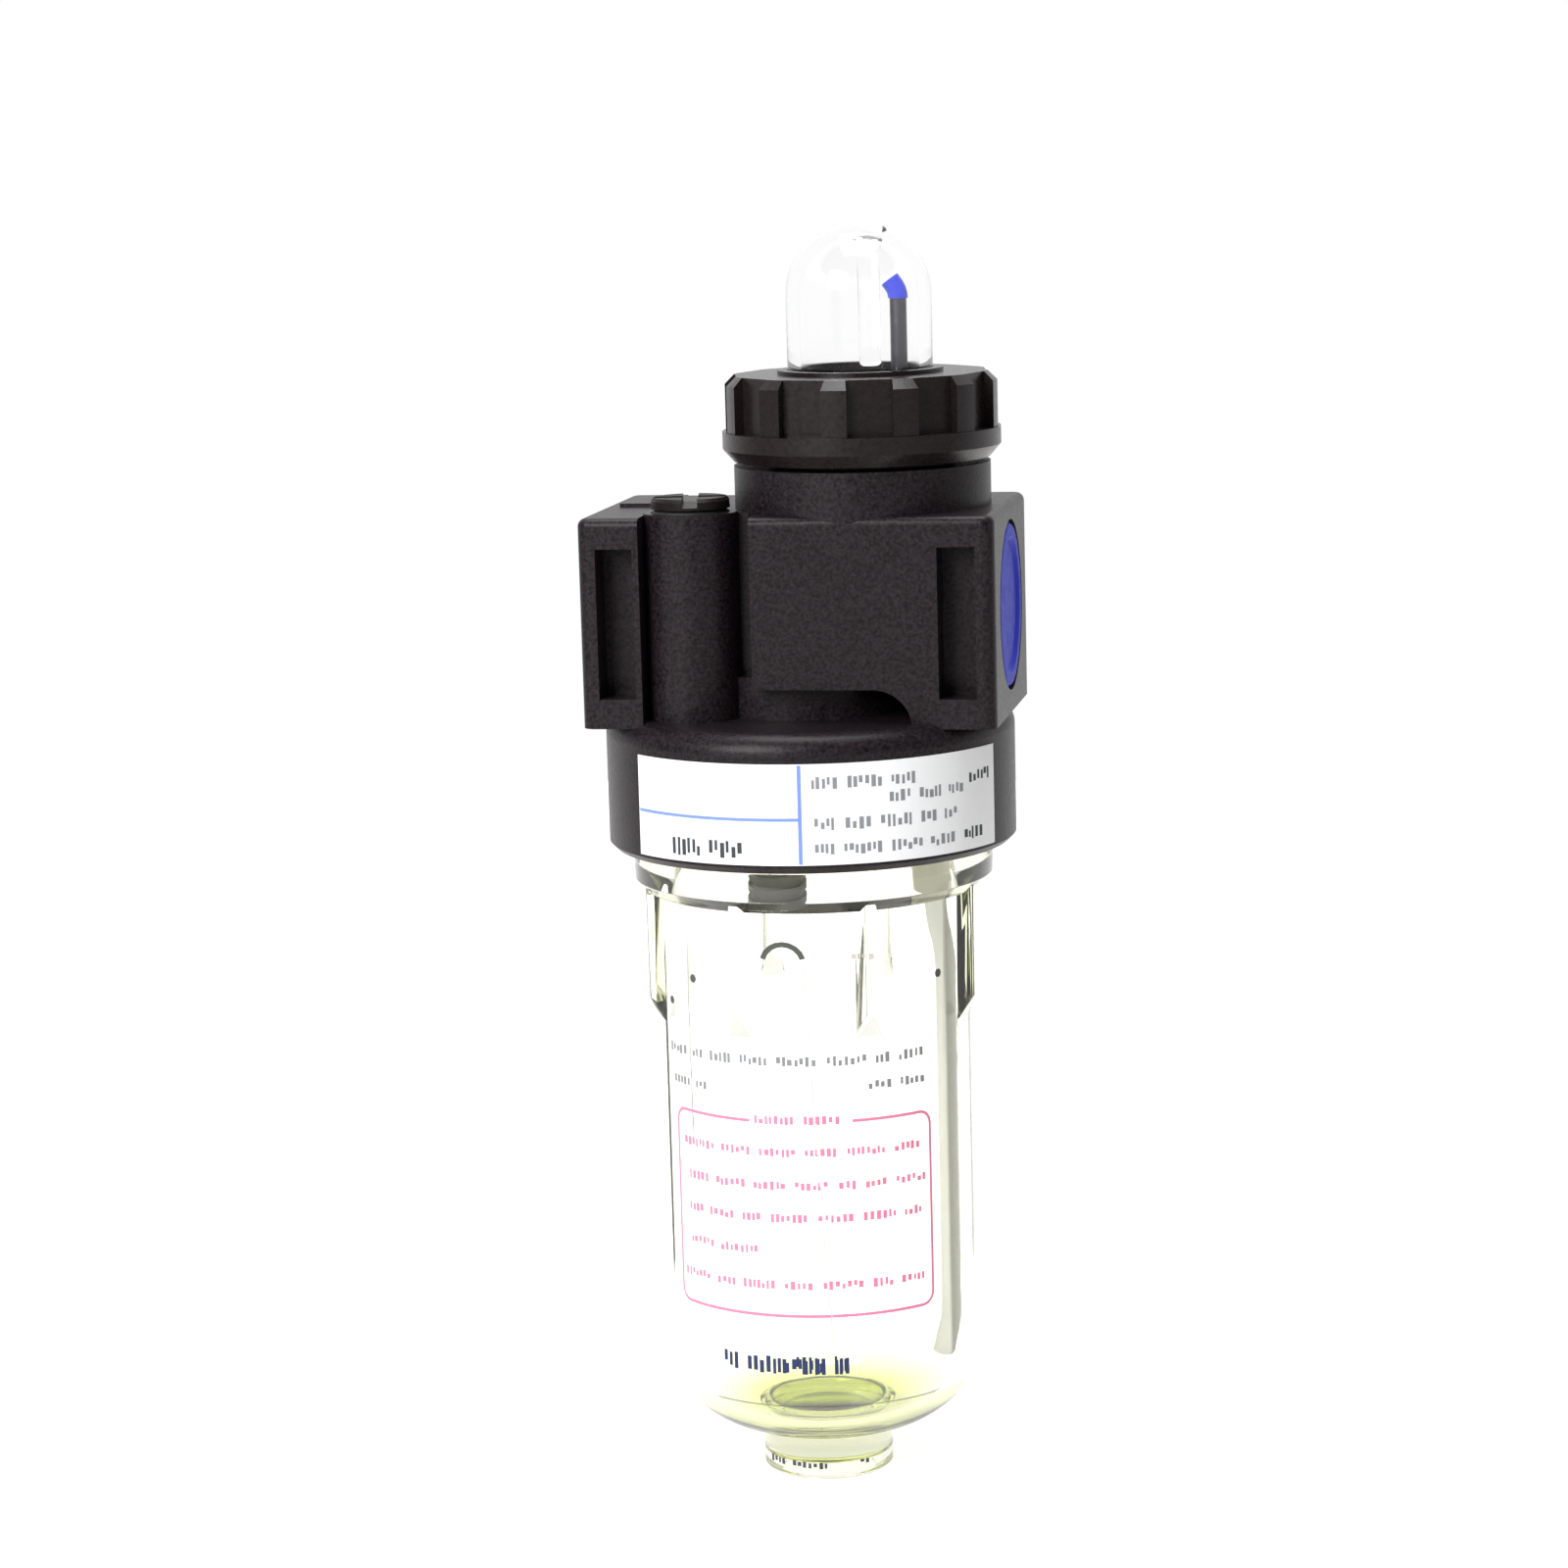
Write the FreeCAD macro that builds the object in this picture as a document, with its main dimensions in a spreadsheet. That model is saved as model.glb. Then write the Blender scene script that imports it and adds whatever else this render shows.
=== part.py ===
"""Air line lubricator of the quarter-inch port size, 40 mm from port face to port face.

Origin: centre of the foot under the bowl, on the bowl's axis. +Z is up, the air
flows along +X and the front, with the rating label, looks along -Y. Millimetres.
"""
import FreeCAD, Part
import Sketcher
import math
import os

# Driving sizes: name, value and what it is. Each is one cell of the sheet.
SIZES = [
    ("turning_gap", 0.05, "radial gap of pieces that turn or slide in one another"),
    ("seat_gap", 0.02, "radial gap of pieces that are pushed home and stay there"),
    ("face_gap", 0.2, "gap between faces that meet when a screwed piece is tight"),

    ("port_face", 20.0, "port face from the bowl axis"),
    ("port_axis_z", 87.0, "height of the air line's axis"),
    ("port_tap_r", 5.9, "tapping radius of the quarter-inch pipe thread"),
    ("port_tap_depth", 9.6, "threaded length of a port, behind its spot face"),
    ("spot_face_r", 8.25, "spot face round each port"),
    ("spot_face_depth", 0.8, "depth of that spot face"),
    ("throat_r", 4.4, "passage between the two ports"),

    ("block_half_y", 12.4, "front and back of the block from the middle"),
    ("block_top", 96.8, "top of the block"),
    ("panel_bottom", 80.4, "lower edge of the front panel"),
    ("flange_bottom", 76.65, "lower edge of both port flanges"),
    ("inlet_flange", 6.0, "width of the inlet flange, from its port face"),
    ("outlet_flange", 8.0, "width of the outlet flange, from its port face"),
    ("panel_left", 3.3, "left edge of the front panel, from the middle"),
    ("recess_depth", 5.0, "set-back between inlet flange and front panel"),
    ("back_step", 0.8, "set-back of the rear panel behind the flanges"),
    ("block_corner", 1.2, "rounding of the block's upright corners"),
    ("block_edge", 0.8, "rounding of the block's top edge"),

    ("pocket_wall", 1.8, "wall between a clamp pocket and its port face"),
    ("pocket_width", 3.6, "width of a clamp pocket"),
    ("pocket_rise", 2.85, "lower end of a clamp pocket over the flange's lower edge"),
    ("pocket_height", 14.4, "height of a clamp pocket"),
    ("pocket_depth", 3.6, "clamp pocket, depth from the flange's face"),

    ("collar_wall", 3.0, "wall of the collar round the bowl's thread"),
    ("collar_bottom", 64.0, "lower edge of the collar"),
    ("collar_top", 77.2, "top of the collar"),
    ("collar_round", 2.0, "rounding of the collar's shoulder"),
    ("collar_edge", 0.6, "chamfer of the collar's lower edge"),
    ("neck_step", 9.5, "neck between collar and block, inside the collar's outside"),
    ("socket_depth", 9.6, "bowl socket, from the collar's lower edge to its ceiling"),

    ("boss_x", 9.7, "filler boss, left of the middle"),
    ("boss_y", 7.85, "filler boss, in front of the middle"),
    ("boss_r", 4.55, "filler boss"),
    ("boss_rise", 0.2, "top of the filler boss over the block"),
    ("filler_tap_r", 2.45, "tapped hole for the filler plug"),
    ("filler_tap_depth", 4.2, "depth of that hole below its counterbore"),
    ("filler_seal_recess", 1.0, "depth of the counterbore for the plug's seal"),
    ("fill_passage_r", 1.1, "oil passage from the filler hole to the bowl"),
    ("fill_passage_y", 8.3, "that passage, in front of the middle"),

    ("turret_x", 5.75, "axis of the sight feed, right of the middle"),
    ("turret_r", 12.4, "turret under the feed knob"),
    ("turret_rise", 4.1, "top of the turret over the block"),
    ("chamber_depth", 4.9, "drain chamber, depth below the turret's top"),
    ("spigot_r", 9.0, "threaded spigot of the drip block"),
    ("stem_boss_r", 3.6, "boss in the chamber round the needle bore"),
    ("stem_boss_height", 3.4, "height of that boss over the chamber's floor"),
    ("stem_r", 2.4, "stem of the drip block, in the needle bore"),
    ("needle_bore_depth", 6.4, "needle bore, depth below the boss"),
    ("drip_passage_x", 5.2, "drip passage, left of the sight feed's axis"),
    ("drip_passage_r", 0.8, "passage from the drain chamber to the throat"),
    ("riser_wall", 2.2, "wall between the oil riser and the clamp pocket"),
    ("riser_y", 9.2, "oil riser, behind the middle"),
    ("riser_r", 0.8, "oil riser"),
    ("riser_turn_z", 78.6, "height at which the riser slants outward"),
    ("riser_shoulder_z", 84.0, "height at which it is upright again"),
    ("gallery_r", 0.5, "oil gallery from the riser to the well under the seat"),

    ("knob_r", 13.2, "feed knob at its flutes"),
    ("knob_rim_r", 13.45, "feed knob at its lower rim"),
    ("knob_bottom_r", 12.4, "feed knob at its lower face"),
    ("knob_lift", 0.45, "lower face of the knob over the turret at rest"),
    ("knob_height", 8.2, "height of the feed knob"),
    ("knob_rim_height", 1.2, "height of the knob's lower chamfer"),
    ("knob_top_chamfer", 0.9, "chamfer round the knob's top"),
    ("knob_top_wall", 1.5, "wall over the dome's flange"),
    ("knob_bore_r", 9.6, "bore of the knob"),
    ("knob_lip_r", 8.0, "raised lip round the dome"),
    ("knob_lip_height", 0.4, "height of that lip"),
    ("flute_count", 12, "flutes round the knob"),
    ("flute_width", 4.4, "width of a flute"),
    ("flute_depth", 1.2, "depth of a flute"),
    ("flute_foot", 2.85, "lower end of a flute over the knob's lower face"),
    ("flute_angle", 13.0, "turn of the first flute from +X, degrees"),

    ("dome_r", 7.0, "outside of the sight dome"),
    ("dome_wall", 1.25, "wall of the sight dome"),
    ("dome_height", 14.4, "apex of the dome over the knob's top"),
    ("dome_flange_r", 9.3, "flange that holds the dome in the knob"),
    ("dome_flange_height", 1.6, "thickness of that flange"),
    ("column_r", 1.05, "clear column that hangs in the dome"),
    ("column_x", 1.0, "column, right of the dome's axis"),
    ("column_clear", 1.2, "end of the column over the drip deck"),
    ("gasket_height", 1.0, "thickness of the dome's gasket"),
    ("gasket_width", 1.5, "radial width of the dome's gasket"),

    ("deck_r", 5.5, "drip deck inside the dome"),
    ("deck_height", 3.4, "drip deck over the drip block's flange"),
    ("deck_dish", 0.7, "depth of the dish in the drip deck"),
    ("flange_height", 3.1, "flange of the drip block"),
    ("block_web", 1.3, "web of the drip block under its flange"),
    ("spigot_wall", 3.0, "wall of the drip block's spigot"),
    ("spigot_reach", 4.0, "spigot below the turret's top"),
    ("drain_x", 3.6, "drain hole, left of the drip block's axis"),
    ("drain_r", 0.9, "drain hole in the drip block"),
    ("stem_bore_r", 0.7, "oil bore in the stem"),
    ("stem_reach", 3.4, "stem below the top of the chamber's boss"),
    ("stem_bore", 7.6, "depth of the oil bore, from the stem's end"),
    ("deck_rim", 0.6, "flat rim of the drip deck"),

    ("drip_tube_x", 3.8, "drip tube, right of the dome's axis"),
    ("drip_tube_r", 0.8, "outside of the drip tube"),
    ("drip_tube_bore_r", 0.4, "bore of the drip tube"),
    ("drip_tube_rise", 7.0, "straight part of the drip tube over the knob's top"),
    ("drip_tube_socket", 2.6, "drip tube inside the drip deck"),
    ("drip_bend_r", 2.2, "bend of the drip tube's tip"),
    ("drip_bend_angle", 36.0, "turn of that bend, degrees"),
    ("drip_tip_length", 0.6, "straight end of the drip tube"),
    ("drip_tip_wall", 0.12, "wall of the sleeve over the drip tube's bend"),

    ("needle_r", 0.68, "metering needle in the stem"),
    ("needle_hold", 2.0, "length of the needle inside the stem"),
    ("needle_flat", 0.35, "flat on the needle, from its axis"),
    ("needle_tip_r", 0.15, "end of the needle"),
    ("needle_waist_r", 0.45, "needle in the plane of its seat, at rest"),
    ("needle_taper", 0.25, "radius gained for each millimetre up the needle"),
    ("seat_height", 1.3, "thickness of the seat"),
    ("seat_hole_r", 0.6, "hole of the seat"),
    ("seat_ledge", 1.2, "ledge under the seat, over the bore's end"),
    ("seat_ledge_r", 1.5, "oil well under the seat"),

    ("dome_seal_r", 0.75, "section of the seal round the spigot"),
    ("dome_seal_drop", 2.2, "that seal's centre below the turret's top"),
    ("stem_seal_r", 0.4, "section of the seal round the stem"),
    ("stem_seal_drop", 1.4, "that seal's centre below the chamber's boss"),

    ("plug_head_r", 3.8, "head of the filler plug"),
    ("plug_head_height", 1.05, "height of that head"),
    ("plug_slot", 1.5, "width of the cross slot"),
    ("plug_slot_depth", 0.8, "depth of the cross slot"),
    ("plug_head_edge", 0.3, "chamfer of the head and of the thread's end"),
    ("plug_thread_length", 3.9, "thread of the filler plug below its seal's seat"),
    ("plug_slot_angle", 100.0, "turn of the cross slot, degrees"),
    ("plug_seal_r", 0.65, "section of the plug's seal"),

    ("label_thick", 0.12, "thickness of the rating label"),
    ("label_glue", 0.01, "glue under the rating label"),
    ("label_bottom", 64.9, "lower edge of the label"),
    ("label_height", 9.6, "height of the label"),
    ("label_start", 135.0, "left end of the label, degrees clockwise from +X"),
    ("label_sweep", 115.0, "arc of the label, degrees"),

    ("arrow_x", 18.2, "tail of the flow arrow, left of the middle"),
    ("arrow_length", 7.2, "length of the flow arrow"),
    ("arrow_head", 3.0, "length of the arrow's head"),
    ("arrow_half", 2.0, "half width of the arrow's head"),
    ("arrow_shaft", 0.8, "half width of the arrow's shaft"),
    ("arrow_height", 0.35, "height of the arrow over the block"),

    ("cap_lid_r", 8.0, "lid of the outlet cap"),
    ("cap_lid", 0.8, "thickness of the lid"),
    ("cap_dish_r", 6.6, "dished middle of the lid"),
    ("cap_dish", 0.35, "depth of that dish"),
    ("cap_skirt", 6.5, "skirt of the cap inside the port"),
    ("cap_skirt_wall", 0.9, "wall of the skirt"),
    ("cap_skirt_gap", 0.08, "gap round the skirt"),

    ("bowl_r", 16.0, "outside of the bowl"),
    ("bowl_bottom_z", 5.0, "underside of the bowl"),
    ("bowl_inner_bottom_z", 6.5, "inner floor of the bowl"),
    ("bowl_inner_round", 7.4, "rounding of that floor"),
    ("bowl_wall", 1.9, "wall of the bowl near its floor"),
    ("bowl_mouth_step", 1.7, "inside of the bowl's mouth, inside the bowl's outside"),
    ("bowl_shoulder_z", 59.6, "lower edge of the shoulder"),
    ("bowl_shoulder_step", 0.5, "lower edge of the shoulder, outside the bowl's wall"),
    ("bowl_shoulder_rise", 1.2, "height of the shoulder's cone"),
    ("bowl_flange_step", 1.7, "flange under the collar, outside the bowl's wall"),
    ("bowl_thread_step", 0.95, "crest of the bowl's thread, outside the bowl's wall"),
    ("bowl_seal_r", 0.8, "section of the bowl's seal"),
    ("bowl_seal_rise", 7.4, "centre of that seal over the collar's lower edge"),
    ("bowl_rim_gap", 0.5, "bowl's rim below the socket's ceiling"),
    ("foot_r", 6.5, "foot of the bowl"),
    ("foot_height", 4.6, "height of the foot"),
    ("foot_edge", 0.3, "chamfer of the foot's lower edge"),
    ("foot_recess_r", 4.6, "recess under the foot"),
    ("foot_recess", 1.5, "depth of that recess"),
    ("well_ledge", 0.8, "flat ledge round the well in the bowl's floor"),
    ("well_depth", 1.0, "depth of that well"),
    ("rib_count", 8, "grip ribs round the bowl"),
    ("rib_width", 2.7, "width of a grip rib"),
    ("rib_height", 1.3, "height of a grip rib over the bowl's wall"),
    ("rib_bottom", 47.3, "lower end of a grip rib"),
    ("rib_root", 0.4, "depth of a rib's root in the bowl's wall"),
    ("rib_ramp", 2.2, "height of the ramp at a rib's lower end"),
    ("rib_angle", 28.0, "turn of the first rib from +X, degrees"),

    ("siphon_step", 2.5, "siphon fitting's axis, inside the bowl's mouth"),
    ("siphon_y", 1.5, "siphon tube, behind the middle"),
    ("siphon_tube_r", 1.1, "outside of the siphon tube"),
    ("siphon_bore_r", 0.6, "bore of the siphon tube"),
    ("siphon_set_r", 14.0, "two bends that set the tube out to the bowl's wall"),
    ("siphon_set_angle", 15.0, "turn of each of those bends, degrees"),
    ("siphon_set_drop", 0.5, "start of those bends under the fitting"),
    ("siphon_foot_z", 11.4, "lower end of the siphon tube"),
    ("siphon_foot", 3.0, "slanted foot of the siphon tube"),
    ("siphon_bend_r", 9.0, "bend over that foot"),
    ("siphon_bend_angle", 14.0, "turn of that bend, degrees"),
    ("fitting_r", 2.1, "siphon fitting under the ceiling"),
    ("fitting_length", 15.0, "siphon fitting below the ceiling"),
    ("fitting_spigot_r", 1.9, "spigot of the fitting in the body"),
    ("fitting_spigot", 2.4, "length of that spigot"),
    ("tube_socket", 5.0, "depth of the tube's socket"),
    ("oil_bore_r", 0.7, "oil bore under the check ball"),
    ("oil_bore", 1.0, "length of that bore"),
    ("ball_r", 1.0, "check ball"),
    ("ball_gap", 0.1, "radial gap round the check ball"),
    ("ball_lift", 0.8, "lift of the check ball"),
    ("ball_rest_gap", 0.01, "check ball over its seat"),
    ("ball_stop_r", 1.45, "stop over the check ball"),
    ("ball_stop_height", 2.0, "height of that stop"),
    ("ball_stop_hole_r", 0.5, "hole of that stop"),

    ("bleed_x", 3.8, "bleed fitting, left of the middle"),
    ("bleed_r", 2.95, "bleed fitting under the ceiling"),
    ("bleed_length", 16.0, "bleed fitting below the ceiling"),
    ("bleed_thread_r", 2.0, "thread of the bleed fitting"),
    ("bleed_thread", 3.4, "length of that thread"),
    ("bleed_hole_r", 0.9, "air hole through the bleed fitting"),
    ("bleed_groove", 0.35, "depth of the bleed fitting's grip grooves"),
    ("bleed_groove_pitch", 0.9, "spacing of those grooves"),
    ("bleed_groove_count", 5, "grooves round the bleed fitting"),
    ("bleed_exit_x", 7.6, "mouth of the bleed passage in the throat, left of the middle"),
    ("bleed_exit_z", 83.4, "height at which that passage ends"),
    ("bleed_passage_r", 0.7, "slanted air passage from the throat to the bleed fitting"),

    ("holder_start", 5.6, "damper holder, left of the middle"),
    ("holder_length", 3.6, "length of the damper holder"),
    ("holder_wall", 0.8, "wall of the holder's ring"),
    ("holder_hub_r", 1.2, "hub of the damper holder"),
    ("hub_length", 2.0, "length of the hub and its spokes"),
    ("spoke_width", 0.9, "width of a spoke"),
    ("spoke_count", 3, "spokes of the damper holder"),
    ("damper_r", 3.7, "flow damper"),
    ("damper_thick", 0.5, "thickness of the flow damper"),
    ("damper_stem_r", 0.55, "stem of the flow damper"),
    ("damper_button_r", 0.95, "button that locks the stem"),
    ("damper_button", 0.6, "thickness of that button"),
]

doc = FreeCAD.newDocument("air_line_lubricator")
sheet = doc.addObject("Spreadsheet::Sheet", "sizes")


class Size:
    """A length that carries its value and the sheet expression that drives it."""

    def __init__(self, value, text):
        self.value = value
        self.text = text

    def joined(self, sign, other, value):
        return Size(value, "(%s %s %s)" % (self.text, sign, as_size(other).text))

    def __add__(self, other):
        return self.joined("+", other, self.value + as_size(other).value)

    def __sub__(self, other):
        return self.joined("-", other, self.value - as_size(other).value)

    def __mul__(self, other):
        return self.joined("*", other, self.value * as_size(other).value)

    def __truediv__(self, other):
        return self.joined("/", other, self.value / as_size(other).value)

    def __neg__(self):
        return Size(-self.value, "(0 - %s)" % self.text)


def as_size(value):
    return value if isinstance(value, Size) else Size(float(value), repr(float(value)))


def fill_sheet():
    """One row for each driving size: note, value and alias."""
    sizes = {}
    for row, (name, value, note) in enumerate(SIZES, start=1):
        sheet.set("A%d" % row, note)
        sheet.set("B%d" % row, str(value))
        sheet.setAlias("B%d" % row, name)
        sizes[name] = Size(float(value), "sizes." + name)
    doc.recompute()
    return sizes


S = fill_sheet()
ZERO = as_size(0)

# Heights and radii that follow from the driving sizes
CEILING_Z = S["collar_bottom"] + S["socket_depth"]
THREAD_R = S["bowl_r"] + S["bowl_thread_step"]
SOCKET_R = THREAD_R + S["turning_gap"]
COLLAR_R = SOCKET_R + S["collar_wall"]
BOWL_INNER_R = S["bowl_r"] - S["bowl_wall"]
BOWL_MOUTH_R = S["bowl_r"] - S["bowl_mouth_step"]
FOOT_ROOT_R = S["foot_r"] + S["bowl_bottom_z"] - S["foot_height"]
BOWL_ROUND = S["bowl_r"] - FOOT_ROOT_R
SIPHON_X = BOWL_MOUTH_R - S["siphon_step"]
LEFT_FLANGE_X = S["port_face"] - S["inlet_flange"]
RIGHT_FLANGE_X = S["port_face"] - S["outlet_flange"]
POCKET_OUTER = S["port_face"] - S["pocket_wall"]
POCKET_INNER = POCKET_OUTER - S["pocket_width"]
RISER_X = POCKET_INNER - S["riser_wall"] - S["riser_r"]
TURRET_TOP = S["block_top"] + S["turret_rise"]
BOSS_TOP = S["block_top"] + S["boss_rise"]
FLOOR_Z = TURRET_TOP - S["chamber_depth"]
CHAMBER_R = S["spigot_r"] + S["turning_gap"]
STEM_BOSS_TOP = FLOOR_Z + S["stem_boss_height"]
NEEDLE_BORE_R = S["stem_r"] + S["turning_gap"]
NEEDLE_BORE_END = STEM_BOSS_TOP - S["needle_bore_depth"]
SEAT_BOTTOM = NEEDLE_BORE_END + S["seat_ledge"]
SEAT_TOP = SEAT_BOTTOM + S["seat_height"]
FILLER_SEAT_Z = BOSS_TOP - S["filler_seal_recess"]
FILLER_END_Z = FILLER_SEAT_Z - S["filler_tap_depth"]
KNOB_BOTTOM = TURRET_TOP + S["knob_lift"]
KNOB_TOP = KNOB_BOTTOM + S["knob_height"]
FLANGE_TOP = KNOB_TOP - S["knob_top_wall"]
FLANGE_BOTTOM = FLANGE_TOP - S["dome_flange_height"]
GASKET_BOTTOM = FLANGE_BOTTOM - S["gasket_height"]
DECK_TOP = GASKET_BOTTOM + S["deck_height"]
HUB_FLANGE_BOTTOM = GASKET_BOTTOM - S["flange_height"]
TAP_END_X = S["port_face"] - S["spot_face_depth"] - S["port_tap_depth"]
DOME_SEAL_Z = TURRET_TOP - S["dome_seal_drop"]
DOME_SEAL_R = CHAMBER_R - S["turning_gap"] - S["dome_seal_r"]
STEM_SEAL_Z = STEM_BOSS_TOP - S["stem_seal_drop"]
STEM_SEAL_R = NEEDLE_BORE_R - S["turning_gap"] - S["stem_seal_r"]
PLUG_SEAL_R = S["filler_tap_r"] + S["plug_seal_r"]
STEM_BOTTOM = STEM_BOSS_TOP - S["stem_reach"]
STEM_BORE_TOP = STEM_BOTTOM + S["stem_bore"]
TUBE_FOOT_Z = DECK_TOP - S["drip_tube_socket"]


def bind(thing, **sizes):
    """Ties each named property of an object to a size."""
    for name, size in sizes.items():
        thing.setExpression(name, as_size(size).text)
    return thing


def put(thing, x=0, y=0, z=0):
    """Ties an object's place to sizes, one axis at a time."""
    for axis, size in (("x", x), ("y", y), ("z", z)):
        thing.setExpression("Placement.Base." + axis, as_size(size).text)
    return thing


def body_named(label, x=0, y=0, z=0, turn=None):
    """An empty body for one sub-part, at its own axis."""
    body = doc.addObject("PartDesign::Body", label)
    body.Label = label
    if turn is not None:
        body.Placement = FreeCAD.Placement(
            FreeCAD.Vector(), FreeCAD.Rotation(FreeCAD.Vector(0, 0, 1), turn.value))
        body.setExpression("Placement.Rotation.Angle", turn.text)
    return put(body, x, y, z)


def sketch_on(body, role, name, lift=None):
    """An empty sketch on one of the body's own planes, lifted along its normal."""
    plane = [part for part in body.Origin.OriginFeatures if part.Role == role][0]
    sketch = body.newObject("Sketcher::SketchObject", name)
    sketch.AttachmentSupport = [(plane, "")]
    sketch.MapMode = "FlatFace"
    if lift is not None:
        sketch.setExpression("AttachmentOffset.Base.z", lift.text)
    return sketch


def constrain(sketch, kind, *values):
    """Adds one constraint to a sketch and gives its index."""
    return sketch.addConstraint(Sketcher.Constraint(kind, *values))


def pin(sketch, geo, pos, u, v):
    """Holds one point of a sketch at its two sizes."""
    for kind, axis, size in (("DistanceX", -2, as_size(u)), ("DistanceY", -1, as_size(v))):
        if size.text == ZERO.text:
            constrain(sketch, "PointOnObject", geo, pos, axis)
        else:
            index = constrain(sketch, kind, -1, 1, geo, pos, size.value)
            sketch.setExpression("Constraints[%d]" % index, size.text)


def hold_radius(sketch, geo, radius):
    """Ties the radius of a circle or an arc to its size."""
    index = constrain(sketch, "Radius", geo, radius.value)
    sketch.setExpression("Constraints[%d]" % index, radius.text)


def circle(sketch, u, v, radius):
    """A circle round (u, v)."""
    centre = FreeCAD.Vector(as_size(u).value, as_size(v).value, 0)
    geo = sketch.addGeometry(Part.Circle(centre, FreeCAD.Vector(0, 0, 1), radius.value))
    pin(sketch, geo, 3, u, v)
    hold_radius(sketch, geo, radius)


def arc_between(sketch, start, end, side, radius):
    """An arc shorter than a half turn; it bends to the named side on its way to the end."""
    chord = end - start
    rise = math.sqrt(radius.value ** 2 - chord.Length ** 2 / 4)
    left = FreeCAD.Vector(-chord.y, chord.x, 0).normalize()
    centre = (start + end) * 0.5 + left * (rise if side == "left" else -rise)
    first, last = (start, end) if side == "left" else (end, start)
    angles = [math.atan2(point.y - centre.y, point.x - centre.x) for point in (first, last)]
    if angles[1] < angles[0]:
        angles[1] += 2 * math.pi
    ring = Part.Circle(centre, FreeCAD.Vector(0, 0, 1), radius.value)
    geo = sketch.addGeometry(Part.ArcOfCircle(ring, angles[0], angles[1]))
    hold_radius(sketch, geo, radius)
    return (geo, 1, 2) if side == "left" else (geo, 2, 1)


def run_between(sketch, start, corner):
    """The line or arc that ends at a corner (u, v) or (u, v, side, radius)."""
    end = FreeCAD.Vector(as_size(corner[0]).value, as_size(corner[1]).value, 0)
    if len(corner) == 2:
        return sketch.addGeometry(Part.LineSegment(start, end)), 1, 2
    return arc_between(sketch, start, end, corner[2], corner[3])


def trace(sketch, corners, closed):
    """Lines and arcs from corner to corner, every corner held by its sizes."""
    points = [FreeCAD.Vector(as_size(c[0]).value, as_size(c[1]).value, 0) for c in corners]
    first = 0 if closed else 1
    runs = [run_between(sketch, points[i - 1], corners[i]) for i in range(first, len(corners))]
    for index, (geo, start, end) in enumerate(runs):
        if index > 0 or closed:
            before, _, before_end = runs[index - 1]
            constrain(sketch, "Coincident", before, before_end, geo, start)
        else:
            pin(sketch, geo, start, corners[0][0], corners[0][1])
        pin(sketch, geo, end, corners[index + first][0], corners[index + first][1])


def outline(sketch, *corners):
    """A closed outline."""
    trace(sketch, corners, True)


def path(sketch, *corners):
    """An open path for a tube."""
    trace(sketch, corners, False)


def rectangle(sketch, left, bottom, right, top):
    """A rectangle between two corners."""
    outline(sketch, (left, bottom), (right, bottom), (right, top), (left, top))


def turned(body, name, corners, axis="V_Axis"):
    """A revolved profile: (radius, height) about V_Axis, (length, radius) about H_Axis."""
    sketch = sketch_on(body, "XZ_Plane", name + "_profile")
    outline(sketch, *corners)
    feature = body.newObject("PartDesign::Revolution", name)
    feature.Profile = sketch
    feature.ReferenceAxis = (sketch, [axis])
    feature.Angle = 360
    return feature


def padded(body, name, role, lift, length, draw, *shape):
    """A pad along the normal of one of the body's planes."""
    sketch = sketch_on(body, role, name + "_outline", as_size(lift))
    draw(sketch, *shape)
    feature = body.newObject("PartDesign::Pad", name)
    feature.Profile = sketch
    return bind(feature, Length=length)


def pocketed(body, name, role, lift, depth, draw, *shape, along_normal=False):
    """A pocket against the plane's normal, or along it; it has to remove something."""
    doc.recompute()
    volume = body.Shape.Volume
    sketch = sketch_on(body, role, name + "_outline", as_size(lift))
    draw(sketch, *shape)
    feature = body.newObject("PartDesign::Pocket", name)
    feature.Profile = sketch
    feature.Reversed = along_normal
    bind(feature, Length=depth)
    doc.recompute()
    if body.Shape.Volume > volume - 0.001:
        raise ValueError(name + " removes nothing")
    return feature


def drilled(body, name, start, end, radius):
    """A round hole from one point to another."""
    start, end = [as_size(c) for c in start], [as_size(c) for c in end]
    along = FreeCAD.Vector(*[b.value - a.value for a, b in zip(start, end)])
    feature = body.newObject("PartDesign::SubtractiveCylinder", name)
    feature.Placement = FreeCAD.Placement(
        FreeCAD.Vector(), FreeCAD.Rotation(FreeCAD.Vector(0, 0, 1), along))
    put(feature, *start)
    squares = " + ".join("(%s - %s)^2" % (b.text, a.text) for a, b in zip(start, end))
    feature.setExpression("Height", "sqrt(%s)" % squares)
    return bind(feature, Radius=radius)


def repeated(body, name, feature, axis, count):
    """Copies of a feature at equal turns round an axis of its own sketch."""
    doc.recompute()
    pattern = body.newObject("PartDesign::PolarPattern", name)
    pattern.Originals = [feature]
    pattern.Axis = (feature.Profile[0], [axis])
    pattern.Angle = 360
    bind(pattern, Occurrences=count)
    body.Tip = pattern
    return pattern


def edges_where(body, test):
    """Names of the edges of the body so far that pass a test on their two ends."""
    doc.recompute()
    names = []
    for index, edge in enumerate(body.Shape.Edges, start=1):
        ends = [vertex.Point for vertex in edge.Vertexes]
        if len(ends) == 2 and all(test(end) for end in ends):
            names.append("Edge%d" % index)
    return names


def rounded(body, name, names, radius):
    """A fillet on the named edges of the body so far."""
    base = body.Tip
    feature = body.newObject("PartDesign::Fillet", name)
    feature.Base = (base, names)
    return bind(feature, Radius=radius)


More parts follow.
